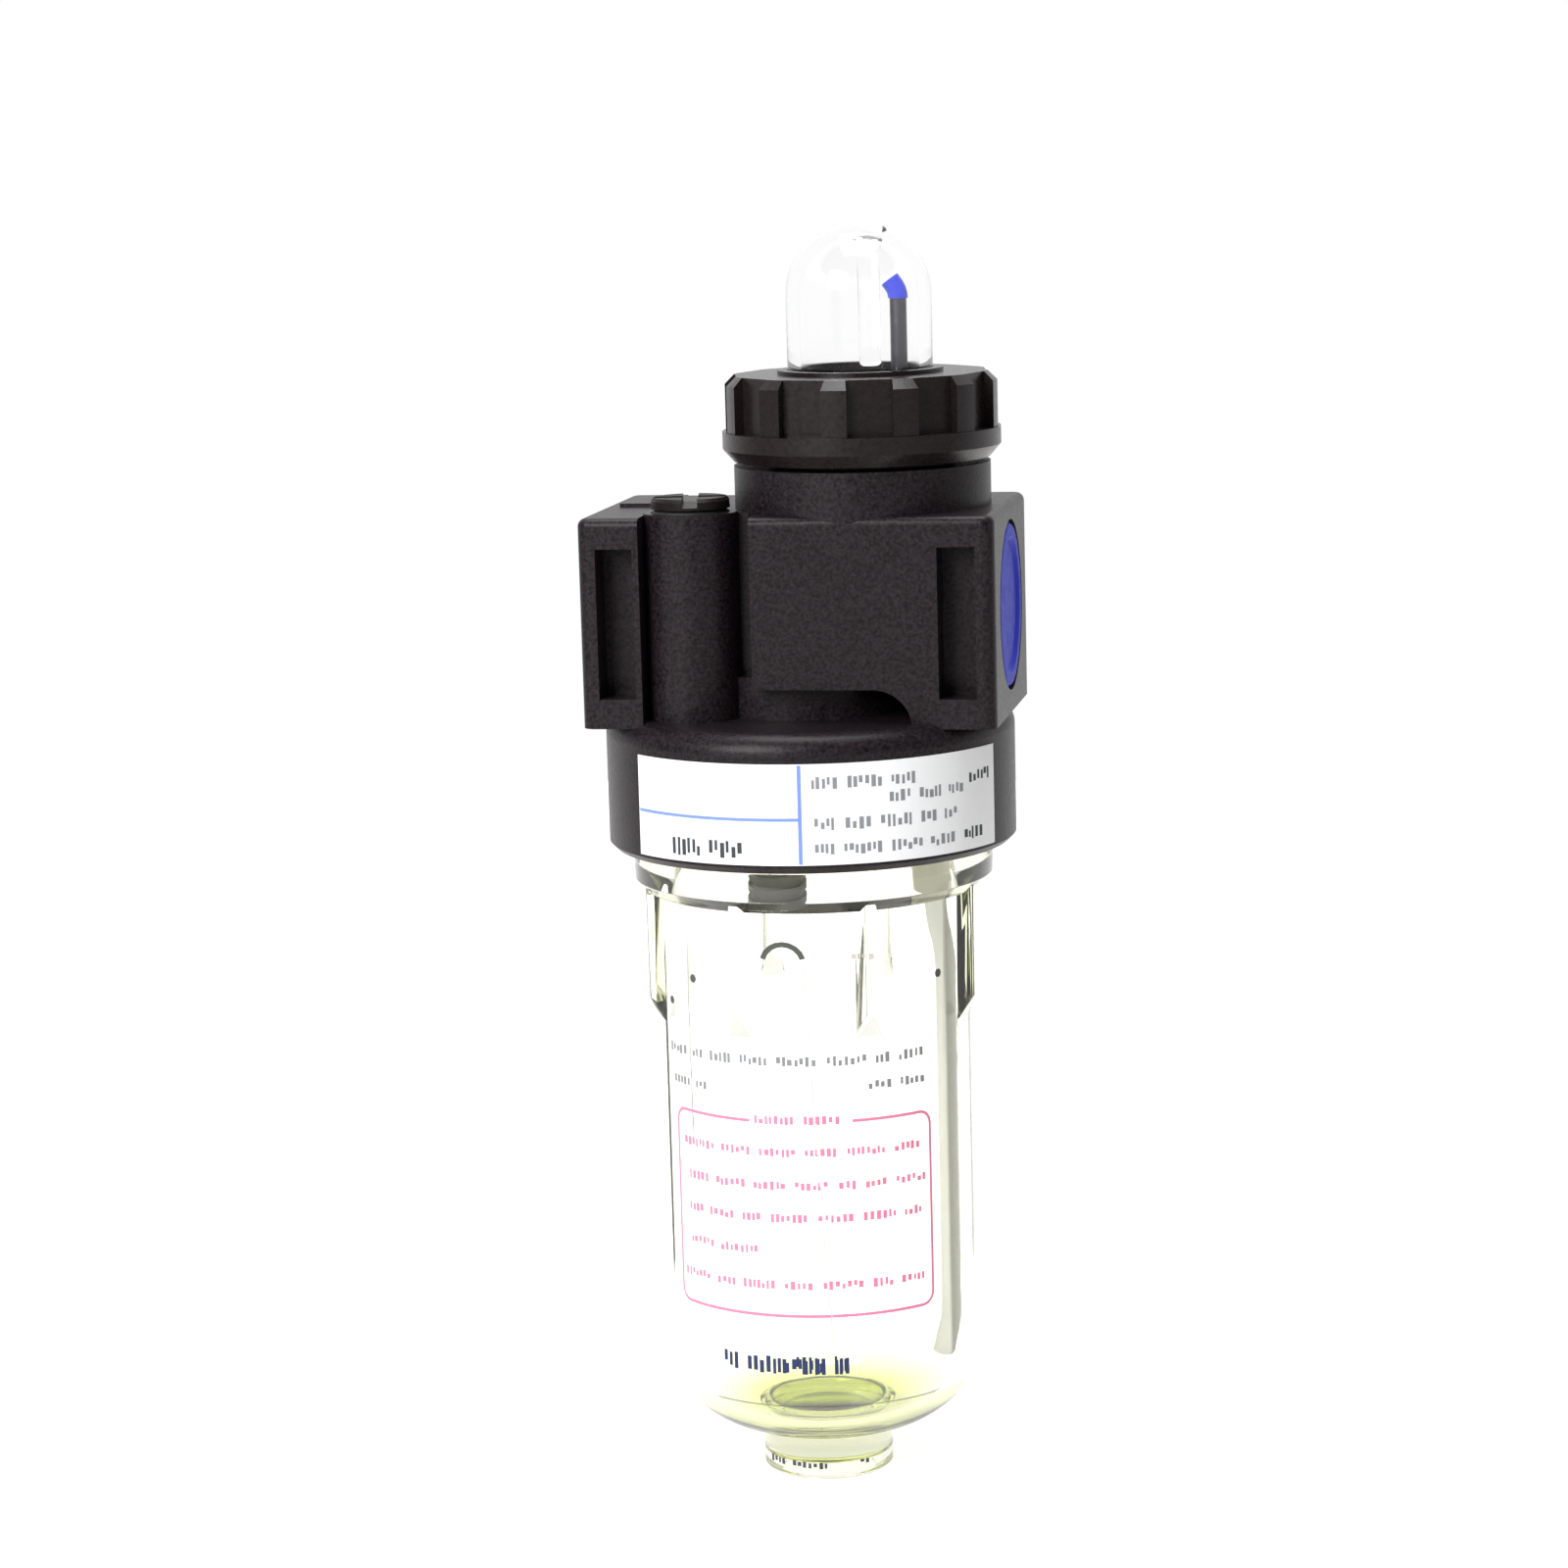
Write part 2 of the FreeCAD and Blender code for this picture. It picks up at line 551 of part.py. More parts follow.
def ring(label, x, y, z, radius, section):
    """A round seal ring lying flat."""
    torus = doc.addObject("Part::Torus", label)
    torus.Label = label
    bind(torus, Radius1=radius, Radius2=section)
    return put(torus, x, y, z)


def sine(angle):
    """Sine of an angle in degrees."""
    return Size(math.sin(math.radians(angle.value)), "sin(%s)" % angle.text)


def cosine(angle):
    """Cosine of an angle in degrees."""
    return Size(math.cos(math.radians(angle.value)), "cos(%s)" % angle.text)


def root(size):
    """Square root of a size."""
    return Size(math.sqrt(size.value), "sqrt(%s)" % size.text)


# Places along the bent drip tube and inside the siphon fitting
TUBE_RISE = KNOB_TOP + S["drip_tube_rise"] - TUBE_FOOT_Z
TIP_X = S["drip_bend_r"] * (as_size(1) - cosine(S["drip_bend_angle"]))
TIP_Z = (TUBE_RISE + S["drip_bend_r"] * sine(S["drip_bend_angle"])
         + S["drip_tip_length"] * cosine(S["drip_bend_angle"]))
BALL_Z = (CEILING_Z - S["fitting_length"] + S["tube_socket"] + S["oil_bore"]
          + root(S["ball_r"] * S["ball_r"] - S["oil_bore_r"] * S["oil_bore_r"])
          + S["ball_rest_gap"])
STOP_Z = BALL_Z + S["ball_r"] + S["ball_lift"] + S["ball_rest_gap"]


def near(value, size):
    """True where a coordinate is that of a size."""
    return abs(value - size.value) < 0.01


def tube_along(body, name, corners, outside, bore):
    """A round tube along a path in the body's XZ plane, from the body's origin."""
    for part, kind, radius in (("wall", "Additive", outside), ("bore", "Subtractive", bore)):
        route = sketch_on(body, "XZ_Plane", "%s_%s_route" % (name, part))
        path(route, *corners)
        section = sketch_on(body, "XY_Plane", "%s_%s_section" % (name, part))
        circle(section, 0, 0, radius)
        feature = body.newObject("PartDesign::%sPipe" % kind, "%s_%s" % (name, part))
        feature.Profile = section
        feature.Spine = (route, ["Edge%d" % (i + 1) for i in range(len(corners) - 1)])
        doc.recompute()


def cast_block(body):
    """Port block: front outline, set-back beside the filler boss, stepped back."""
    left, right = -S["port_face"], S["port_face"]
    blend = S["panel_bottom"] - S["flange_bottom"]
    padded(body, "block", "XZ_Plane", -S["block_half_y"], S["block_half_y"] * 2, outline,
           (left, S["flange_bottom"]),
           (-LEFT_FLANGE_X, S["flange_bottom"]),
           (-LEFT_FLANGE_X, S["panel_bottom"]),
           (RIGHT_FLANGE_X - blend, S["panel_bottom"]),
           (RIGHT_FLANGE_X, S["flange_bottom"], "right", blend),
           (right, S["flange_bottom"]),
           (right, S["block_top"]),
           (left, S["block_top"]))
    height = S["block_top"] - S["flange_bottom"]
    pocketed(body, "front_set_back", "XY_Plane", S["block_top"], height, rectangle,
             -LEFT_FLANGE_X, -S["block_half_y"] - 1,
             -S["panel_left"], S["recess_depth"] - S["block_half_y"])
    pocketed(body, "rear_set_back", "XY_Plane", S["block_top"], height, rectangle,
             -LEFT_FLANGE_X, S["block_half_y"] - S["back_step"],
             LEFT_FLANGE_X, S["block_half_y"] + 1)
    corners = edges_where(body, lambda p: near(abs(p.x), S["port_face"])
                          and near(abs(p.y), S["block_half_y"]))
    upright = [n for n in corners
               if body.Shape.getElement(n).BoundBox.ZLength > S["block_corner"].value]
    rounded(body, "corner_rounding", upright, S["block_corner"])
    top = edges_where(body, lambda p: near(p.z, S["block_top"])
                      and (abs(p.x) > LEFT_FLANGE_X.value - 0.01
                           or near(p.y, -S["block_half_y"])))
    inner = [n for n in top if near(abs(body.Shape.getElement(n).CenterOfMass.x),
                                    LEFT_FLANGE_X)]
    rounded(body, "top_rounding", [n for n in top if n not in inner], S["block_edge"])


def cast_collar(body):
    """Collar with the bowl's socket, its rounded shoulder and the neck to the block."""
    turned(body, "collar", [
        (0, CEILING_Z),
        (SOCKET_R, CEILING_Z),
        (SOCKET_R, S["collar_bottom"]),
        (COLLAR_R - S["collar_edge"], S["collar_bottom"]),
        (COLLAR_R, S["collar_bottom"] + S["collar_edge"]),
        (COLLAR_R, S["collar_top"] - S["collar_round"]),
        (COLLAR_R - S["collar_round"], S["collar_top"], "left", S["collar_round"]),
        (COLLAR_R - S["neck_step"], S["collar_top"]),
        (COLLAR_R - S["neck_step"], S["panel_bottom"] + S["block_edge"]),
        (0, S["panel_bottom"] + S["block_edge"])])


def cast_bosses(body):
    """Turret, filler boss, boss round the oil riser and the flow arrow."""
    padded(body, "turret", "XY_Plane", S["block_top"] - S["block_corner"],
           TURRET_TOP - S["block_top"] + S["block_corner"], circle,
           S["turret_x"], 0, S["turret_r"])
    padded(body, "filler_boss", "XY_Plane", S["flange_bottom"],
           BOSS_TOP - S["flange_bottom"], circle, -S["boss_x"], -S["boss_y"], S["boss_r"])
    padded(body, "riser_boss", "XY_Plane", S["flange_bottom"],
           S["panel_bottom"] - S["flange_bottom"] + S["block_edge"], circle,
           SIPHON_X, S["siphon_y"], S["fitting_r"])
    neck = S["arrow_length"] - S["arrow_head"] - S["arrow_x"]
    padded(body, "flow_arrow", "XY_Plane", S["block_top"], S["arrow_height"], outline,
           (-S["arrow_x"], -S["arrow_shaft"]),
           (neck, -S["arrow_shaft"]),
           (neck, -S["arrow_half"]),
           (S["arrow_length"] - S["arrow_x"], 0),
           (neck, S["arrow_half"]),
           (neck, S["arrow_shaft"]),
           (-S["arrow_x"], S["arrow_shaft"]))


def cut_clamp_pockets(body):
    """Upright pockets beside both ports, front and back, for the joining clamps."""
    bottom = S["flange_bottom"] + S["pocket_rise"]
    for side, lift, inward in (("front", S["block_half_y"], False),
                               ("rear", -S["block_half_y"], True)):
        for end, near_x, far_x in (("left", -POCKET_OUTER, -POCKET_INNER),
                                   ("right", POCKET_INNER, POCKET_OUTER)):
            pocketed(body, "%s_%s_pocket" % (side, end), "XZ_Plane", lift, S["pocket_depth"],
                     rectangle, near_x, bottom, far_x, bottom + S["pocket_height"],
                     along_normal=inward)


def drill_ports(body):
    """Both ports with their spot faces, and the throat between them."""
    axis_z = S["port_axis_z"]
    for side, name in ((-1, "inlet"), (1, "outlet")):
        face = S["port_face"] * side
        seat = (S["port_face"] - S["spot_face_depth"]) * side
        drilled(body, name + "_spot_face", (seat, 0, axis_z), (face, 0, axis_z),
                S["spot_face_r"])
        drilled(body, name + "_tap", (TAP_END_X * side, 0, axis_z), (seat, 0, axis_z),
                S["port_tap_r"])
    drilled(body, "throat", (-TAP_END_X, 0, axis_z), (TAP_END_X, 0, axis_z), S["throat_r"])


def drill_feed(body):
    """Drain chamber, needle bore with its boss, drip passage and the oil riser."""
    x = S["turret_x"]
    drilled(body, "drain_chamber", (x, 0, FLOOR_Z), (x, 0, TURRET_TOP), CHAMBER_R)
    padded(body, "stem_boss", "XY_Plane", FLOOR_Z, S["stem_boss_height"], circle,
           x, 0, S["stem_boss_r"])
    drilled(body, "needle_bore", (x, 0, SEAT_BOTTOM), (x, 0, STEM_BOSS_TOP), NEEDLE_BORE_R)
    drilled(body, "oil_well", (x, 0, NEEDLE_BORE_END), (x, 0, SEAT_BOTTOM), S["seat_ledge_r"])
    drip_x = x - S["drip_passage_x"]
    drilled(body, "drip_passage", (drip_x, 0, S["port_axis_z"]), (drip_x, 0, FLOOR_Z),
            S["drip_passage_r"])
    foot = (SIPHON_X, S["siphon_y"], S["riser_turn_z"])
    shoulder = (RISER_X, S["riser_y"], S["riser_shoulder_z"])
    gallery_z = NEEDLE_BORE_END + S["seat_ledge"] / 2
    head = (RISER_X, S["riser_y"], gallery_z)
    drilled(body, "riser_foot", (SIPHON_X, S["siphon_y"], CEILING_Z), foot, S["riser_r"])
    drilled(body, "riser_slant", foot, shoulder, S["riser_r"])
    drilled(body, "riser", shoulder, head, S["riser_r"])
    drilled(body, "oil_gallery", head, (x, 0, gallery_z), S["gallery_r"])


def drill_ceiling(body):
    """Seats in the ceiling for the siphon and bleed fittings, and the bleed's air hole."""
    siphon = (SIPHON_X, S["siphon_y"])
    drilled(body, "siphon_seat", siphon + (CEILING_Z,),
            siphon + (CEILING_Z + S["fitting_spigot"],), S["fitting_spigot_r"] + S["seat_gap"])
    drilled(body, "bleed_seat", (-S["bleed_x"], 0, CEILING_Z),
            (-S["bleed_x"], 0, CEILING_Z + S["bleed_thread"]),
            S["bleed_thread_r"] + S["seat_gap"])
    drilled(body, "bleed_passage", (-S["bleed_x"], 0, CEILING_Z + S["bleed_thread"]),
            (-S["bleed_exit_x"], 0, S["bleed_exit_z"]), S["bleed_passage_r"])


def drill_filler(body):
    """Tapped filler hole with its counterbore, and the passage down to the bowl."""
    boss = (-S["boss_x"], -S["boss_y"])
    drilled(body, "filler_counterbore", boss + (FILLER_SEAT_Z,), boss + (BOSS_TOP,),
            PLUG_SEAL_R + S["plug_seal_r"] + S["turning_gap"])
    drilled(body, "filler_tap", boss + (FILLER_END_Z,), boss + (FILLER_SEAT_Z,),
            S["filler_tap_r"])
    passage = (-S["boss_x"], -S["fill_passage_y"])
    drilled(body, "fill_passage", passage + (CEILING_Z,), passage + (FILLER_END_Z,),
            S["fill_passage_r"])


def make_body():
    """The die-cast body, in one piece."""
    body = body_named("body")
    cast_block(body)
    cast_collar(body)
    cast_bosses(body)
    cut_clamp_pockets(body)
    drill_ports(body)
    drill_feed(body)
    drill_ceiling(body)
    drill_filler(body)
    return body


def make_bowl():
    """The moulded bowl: shoulder, threaded neck with a seal groove, ribs and foot."""
    body = body_named("bowl", turn=S["rib_angle"])
    edge = S["foot_edge"]
    seal_z = S["collar_bottom"] + S["bowl_seal_rise"]
    groove = S["bowl_seal_r"] + S["turning_gap"]
    groove_r = SOCKET_R - S["turning_gap"] * 2 - S["bowl_seal_r"] * 2
    rim_z = CEILING_Z - S["bowl_rim_gap"]
    flange_top = S["collar_bottom"] - S["face_gap"]
    inner_bottom = S["bowl_inner_bottom_z"]
    well_r = BOWL_INNER_R - S["bowl_inner_round"] - S["well_ledge"]
    turned(body, "bowl_wall", [
        (0, S["foot_recess"]),
        (S["foot_recess_r"], S["foot_recess"]),
        (S["foot_recess_r"], 0),
        (S["foot_r"] - edge, 0),
        (S["foot_r"], edge),
        (S["foot_r"], S["foot_height"]),
        (FOOT_ROOT_R, S["bowl_bottom_z"]),
        (S["bowl_r"], S["bowl_bottom_z"] + BOWL_ROUND, "left", BOWL_ROUND),
        (S["bowl_r"], S["bowl_shoulder_z"]),
        (S["bowl_r"] + S["bowl_shoulder_step"], S["bowl_shoulder_z"]),
        (S["bowl_r"] + S["bowl_flange_step"], S["bowl_shoulder_z"] + S["bowl_shoulder_rise"]),
        (S["bowl_r"] + S["bowl_flange_step"], flange_top),
        (THREAD_R, flange_top),
        (THREAD_R, seal_z - groove),
        (groove_r, seal_z - groove),
        (groove_r, seal_z + groove),
        (THREAD_R, seal_z + groove),
        (THREAD_R, rim_z),
        (BOWL_MOUTH_R, rim_z),
        (BOWL_INNER_R, inner_bottom + S["bowl_inner_round"]),
        (BOWL_INNER_R - S["bowl_inner_round"], inner_bottom,
         "right", S["bowl_inner_round"]),
        (well_r, inner_bottom),
        (well_r, inner_bottom - S["well_depth"]),
        (0, inner_bottom - S["well_depth"])])
    root_r = S["bowl_r"] - S["rib_root"]
    crest_r = S["bowl_r"] + S["rib_height"]
    rib = padded(body, "rib", "XZ_Plane", -S["rib_width"] / 2, S["rib_width"], outline,
                 (root_r, S["rib_bottom"]),
                 (crest_r, S["rib_bottom"] + S["rib_ramp"]),
                 (crest_r, S["bowl_shoulder_z"] + S["bowl_shoulder_rise"]),
                 (root_r, S["bowl_shoulder_z"] + S["bowl_shoulder_rise"]))
    repeated(body, "ribs", rib, "V_Axis", S["rib_count"])
    return body


def make_feed_knob():
    """The fluted ring that is turned to set the drip rate."""
    body = body_named("feed_knob", S["turret_x"], 0, KNOB_BOTTOM, S["flute_angle"])
    top = S["knob_height"]
    lip_z = top + S["knob_lip_height"]
    dome_hole_r = S["dome_r"] + S["turning_gap"]
    turned(body, "knob_ring", [
        (S["knob_bore_r"], 0),
        (S["knob_bottom_r"], 0),
        (S["knob_rim_r"], S["knob_rim_height"]),
        (S["knob_rim_r"], S["flute_foot"]),
        (S["knob_r"], S["flute_foot"]),
        (S["knob_r"], top - S["knob_top_chamfer"]),
        (S["knob_r"] - S["knob_top_chamfer"], top),
        (S["knob_lip_r"], top),
        (S["knob_lip_r"], lip_z),
        (dome_hole_r, lip_z),
        (dome_hole_r, top - S["knob_top_wall"]),
        (S["knob_bore_r"], top - S["knob_top_wall"])])
    half = S["flute_width"] / 2
    flute = pocketed(body, "flute", "XY_Plane", S["flute_foot"], S["knob_height"], rectangle,
                     S["knob_r"] - S["flute_depth"], -half, S["knob_rim_r"] + 1, half,
                     along_normal=True)
    repeated(body, "flutes", flute, "N_Axis", S["flute_count"])
    return body


def make_sight_dome():
    """The clear dome with the column that the oil runs down."""
    body = body_named("sight_dome", S["turret_x"], 0, FLANGE_BOTTOM)
    inner_r = S["dome_r"] - S["dome_wall"]
    apex = KNOB_TOP - FLANGE_BOTTOM + S["dome_height"]
    centre_z = apex - S["dome_r"]
    turned(body, "dome_wall", [
        (inner_r, 0),
        (S["dome_flange_r"], 0),
        (S["dome_flange_r"], S["dome_flange_height"]),
        (S["dome_r"], S["dome_flange_height"]),
        (S["dome_r"], centre_z),
        (0, apex, "left", S["dome_r"]),
        (0, apex - S["dome_wall"]),
        (inner_r, centre_z, "right", inner_r)])
    column_z = DECK_TOP + S["column_clear"] - FLANGE_BOTTOM
    padded(body, "column", "XY_Plane", column_z,
           apex - S["dome_wall"] / 2 - column_z, circle, S["column_x"], 0, S["column_r"])
    return body


def make_dome_gasket():
    """Flat gasket between the dome's flange and the drip block."""
    body = body_named("dome_gasket", S["turret_x"], 0, GASKET_BOTTOM)
    turned(body, "gasket", [
        (S["dome_flange_r"] - S["gasket_width"], 0),
        (S["dome_flange_r"], 0),
        (S["dome_flange_r"], S["gasket_height"]),
        (S["dome_flange_r"] - S["gasket_width"], S["gasket_height"])])
    return body


def grooved(r, bottom, centre_z, section):
    """Corners of a seal groove in a shaft of radius r, from the lower edge up."""
    half = section + S["turning_gap"]
    return [(r, centre_z - half), (bottom, centre_z - half),
            (bottom, centre_z + half), (r, centre_z + half)]


def make_drip_block():
    """The block under the dome: dished deck, flange, threaded spigot and stem."""
    body = body_named("drip_block", S["turret_x"], 0, 0)
    flange_r = S["knob_bore_r"] - S["seat_gap"]
    web_z = HUB_FLANGE_BOTTOM - S["block_web"]
    spigot_z = TURRET_TOP - S["spigot_reach"]
    spigot_inner = S["spigot_r"] - S["spigot_wall"]
    dome_groove = grooved(S["spigot_r"], DOME_SEAL_R - S["dome_seal_r"] - S["turning_gap"],
                          DOME_SEAL_Z, S["dome_seal_r"])
    stem_groove = grooved(S["stem_r"], STEM_SEAL_R - S["stem_seal_r"] - S["turning_gap"],
                          STEM_SEAL_Z, S["stem_seal_r"])
    turned(body, "drip_block_turned", [
        (0, DECK_TOP - S["deck_dish"]),
        (0, STEM_BORE_TOP),
        (S["stem_bore_r"], STEM_BORE_TOP),
        (S["stem_bore_r"], STEM_BOTTOM),
        (S["stem_r"], STEM_BOTTOM)] + stem_groove + [
        (S["stem_r"], web_z),
        (spigot_inner, web_z),
        (spigot_inner, spigot_z),
        (S["spigot_r"], spigot_z)] + dome_groove + [
        (S["spigot_r"], HUB_FLANGE_BOTTOM),
        (flange_r, HUB_FLANGE_BOTTOM),
        (flange_r, GASKET_BOTTOM),
        (S["deck_r"], GASKET_BOTTOM),
        (S["deck_r"], DECK_TOP),
        (S["deck_r"] - S["deck_rim"], DECK_TOP),
        (S["deck_r"] - S["deck_rim"], DECK_TOP - S["deck_dish"])])
    drilled(body, "drain", (-S["drain_x"], 0, web_z), (-S["drain_x"], 0, DECK_TOP),
            S["drain_r"])
    drilled(body, "drip_tube_seat", (S["drip_tube_x"], 0, TUBE_FOOT_Z),
            (S["drip_tube_x"], 0, DECK_TOP), S["drip_tube_r"] + S["seat_gap"])
    drilled(body, "oil_duct", (0, 0, STEM_BORE_TOP), (S["drip_tube_x"], 0, TUBE_FOOT_Z),
            S["drip_tube_bore_r"])
    return body


def make_drip_tube():
    """The dark tube that stands in the drip deck and bends towards the column."""
    body = body_named("drip_tube", S["turret_x"] + S["drip_tube_x"], 0, TUBE_FOOT_Z)
    tube_along(body, "drip_tube", [
        (0, 0),
        (0, TUBE_RISE),
        (-TIP_X, TUBE_RISE + S["drip_bend_r"] * sine(S["drip_bend_angle"]),
         "left", S["drip_bend_r"]),
        (-TIP_X - S["drip_tip_length"] * sine(S["drip_bend_angle"]), TIP_Z)],
        S["drip_tube_r"], S["drip_tube_bore_r"])
    return body


def make_drip_tip():
    """The coloured sleeve over the bend and the end of the drip tube."""
    body = body_named("drip_tip", S["turret_x"] + S["drip_tube_x"], 0, TUBE_FOOT_Z + TUBE_RISE)
    bend_z = S["drip_bend_r"] * sine(S["drip_bend_angle"])
    sleeve_r = S["drip_tube_r"] + S["seat_gap"]
    tube_along(body, "drip_tip", [
        (0, 0),
        (-TIP_X, bend_z, "left", S["drip_bend_r"]),
        (-TIP_X - S["drip_tip_length"] * sine(S["drip_bend_angle"]), TIP_Z - TUBE_RISE)],
        sleeve_r + S["drip_tip_wall"], sleeve_r)
    return body


def make_metering_needle():
    """The needle in the stem; its taper meters the oil, its flat lets the oil by."""
    body = body_named("metering_needle", S["turret_x"], 0, SEAT_TOP)
    tip_z = (S["needle_tip_r"] - S["needle_waist_r"]) / S["needle_taper"]
    shank_z = (S["needle_r"] - S["needle_waist_r"]) / S["needle_taper"]
    top_z = STEM_BOTTOM + S["needle_hold"] - SEAT_TOP
    turned(body, "needle", [
        (0, tip_z),
        (S["needle_tip_r"], tip_z),
        (S["needle_r"], shank_z),
        (S["needle_r"], top_z),
        (0, top_z)])
    pocketed(body, "needle_flat", "XY_Plane", 0, top_z, rectangle, S["needle_flat"],
             -S["needle_r"], S["needle_r"] + 1, S["needle_r"], along_normal=True)
    return body


def make_needle_seat():
    """The pressed-in seat that the needle closes."""
    body = body_named("needle_seat", S["turret_x"], 0, SEAT_BOTTOM)
    turned(body, "seat", [
        (S["seat_hole_r"], 0),
        (NEEDLE_BORE_R - S["seat_gap"], 0),
        (NEEDLE_BORE_R - S["seat_gap"], S["seat_height"]),
        (S["seat_hole_r"], S["seat_height"])])
    return body


def make_filler_plug():
    """The cross-slotted filler plug."""
    body = body_named("filler_plug", -S["boss_x"], -S["boss_y"], FILLER_SEAT_Z,
                      S["plug_slot_angle"])
    head_z = S["plug_seal_r"] * 2 + S["turning_gap"] * 2
    top_z = head_z + S["plug_head_height"]
    thread_r = S["filler_tap_r"] - S["turning_gap"]
    edge = S["plug_head_edge"]
    turned(body, "plug", [
        (0, -S["plug_thread_length"]),
        (thread_r - edge, -S["plug_thread_length"]),
        (thread_r, edge - S["plug_thread_length"]),
        (thread_r, head_z),
        (S["plug_head_r"], head_z),
        (S["plug_head_r"], top_z - edge),
        (S["plug_head_r"] - edge, top_z),
        (0, top_z)])
    half, reach = S["plug_slot"] / 2, S["plug_head_r"] + 1
    pocketed(body, "slot", "XY_Plane", top_z, S["plug_slot_depth"], rectangle,
             -reach, -half, reach, half)
    pocketed(body, "cross_slot", "XY_Plane", top_z, S["plug_slot_depth"], rectangle,
             -half, -reach, half, reach)
    return body


def make_rating_label():
    """The thin label stuck round the front of the collar."""
    outer = bind(doc.addObject("Part::Cylinder", "label_outside"),
                 Radius=COLLAR_R + S["label_glue"] + S["label_thick"],
                 Height=S["label_height"], Angle=S["label_sweep"])
    inner = bind(doc.addObject("Part::Cylinder", "label_inside"),
                 Radius=COLLAR_R + S["label_glue"], Height=S["label_height"])
    label = doc.addObject("Part::Cut", "rating_label")
    label.Label = "rating_label"
    label.Base, label.Tool = outer, inner
    label.Placement = FreeCAD.Placement(FreeCAD.Vector(), FreeCAD.Rotation(
        FreeCAD.Vector(0, 0, -1), S["label_start"].value))
    label.setExpression("Placement.Rotation.Angle", S["label_start"].text)
    return put(label, 0, 0, S["label_bottom"])


def make_outlet_cap():
    """The push-in dust cap of the outlet port."""
    body = body_named("outlet_cap", 0, 0, S["port_axis_z"])
    seat_x = S["port_face"] - S["spot_face_depth"]
    face_x = seat_x + S["cap_lid"]
    skirt_r = S["port_tap_r"] - S["cap_skirt_gap"]
    skirt_x = seat_x - S["cap_skirt"]
    turned(body, "cap", [
        (seat_x, 0),
        (face_x - S["cap_dish"], 0),
        (face_x - S["cap_dish"], S["cap_dish_r"] - S["cap_dish"]),
        (face_x, S["cap_dish_r"]),
        (face_x, S["cap_lid_r"] - S["cap_dish"]),
        (face_x - S["cap_dish"], S["cap_lid_r"]),
        (seat_x, S["cap_lid_r"]),
        (seat_x, skirt_r),
        (skirt_x, skirt_r),
        (skirt_x, skirt_r - S["cap_skirt_wall"]),
        (seat_x, skirt_r - S["cap_skirt_wall"])], "H_Axis")
    return body


def make_damper_holder():
    """The spoked ring in the throat that carries the damper."""
    body = body_named("damper_holder", 0, 0, S["port_axis_z"])
    outside = S["throat_r"] - S["seat_gap"]
    inside = outside - S["holder_wall"]
    end_x = S["holder_length"] - S["holder_start"]
    turned(body, "holder_ring", [
        (-S["holder_start"], inside),
        (end_x, inside),
        (end_x, outside),
        (-S["holder_start"], outside)], "H_Axis")
    hub_x = end_x - S["hub_length"]
    half = S["spoke_width"] / 2
    spoke = padded(body, "spoke", "YZ_Plane", hub_x, S["hub_length"], rectangle,
                   -half, 0, half, inside + S["holder_wall"] / 2)
    repeated(body, "spokes", spoke, "N_Axis", S["spoke_count"])
    padded(body, "hub", "YZ_Plane", hub_x, S["hub_length"], circle, 0, 0, S["holder_hub_r"])
    drilled(body, "hub_hole", (hub_x, 0, 0), (end_x, 0, 0),
            S["damper_stem_r"] + S["seat_gap"])
    return body


def make_flow_damper():
    """The soft disc that the air bends aside, locked in the holder by its button."""
    body = body_named("flow_damper", 0, 0, S["port_axis_z"])
    seat_x = S["holder_length"] - S["holder_start"]
    hub_x = seat_x - S["hub_length"]
    turned(body, "damper", [
        (hub_x - S["damper_button"], 0),
        (seat_x + S["damper_thick"] * 2, 0),
        (seat_x + S["damper_thick"], S["damper_r"]),
        (seat_x, S["damper_r"]),
        (seat_x, S["damper_stem_r"]),
        (hub_x, S["damper_stem_r"]),
        (hub_x, S["damper_button_r"]),
        (hub_x - S["damper_button"], S["damper_button_r"])], "H_Axis")
    return body


def make_siphon_fitting():
    """The fitting that holds the siphon tube and cages the check ball."""
    body = body_named("siphon_fitting", SIPHON_X, S["siphon_y"], CEILING_Z)
    socket_z = S["tube_socket"] - S["fitting_length"]
    socket_r = S["siphon_tube_r"] + S["seat_gap"]
    seat_z = socket_z + S["oil_bore"]
    turned(body, "fitting", [
        (socket_r, -S["fitting_length"]),
        (S["fitting_r"], -S["fitting_length"]),
        (S["fitting_r"], 0),
        (S["fitting_spigot_r"], 0),
        (S["fitting_spigot_r"], S["fitting_spigot"]),
        (S["ball_stop_r"] + S["seat_gap"], S["fitting_spigot"]),
        (S["ball_stop_r"] + S["seat_gap"], STOP_Z - CEILING_Z),
        (S["ball_r"] + S["ball_gap"], STOP_Z - CEILING_Z),
        (S["ball_r"] + S["ball_gap"], seat_z),
        (S["oil_bore_r"], seat_z),
        (S["oil_bore_r"], socket_z),
        (socket_r, socket_z)])
    return body


def make_check_ball():
    """The ball that keeps the riser full of oil."""
    ball = doc.addObject("Part::Sphere", "check_ball")
    ball.Label = "check_ball"
    bind(ball, Radius=S["ball_r"])
    return put(ball, SIPHON_X, S["siphon_y"], BALL_Z)


def make_ball_stop():
    """The bored stop over the check ball."""
    body = body_named("ball_stop", SIPHON_X, S["siphon_y"], STOP_Z)
    turned(body, "stop", [
        (S["ball_stop_hole_r"], 0),
        (S["ball_stop_r"], 0),
        (S["ball_stop_r"], S["ball_stop_height"]),
        (S["ball_stop_hole_r"], S["ball_stop_height"])])
    return body


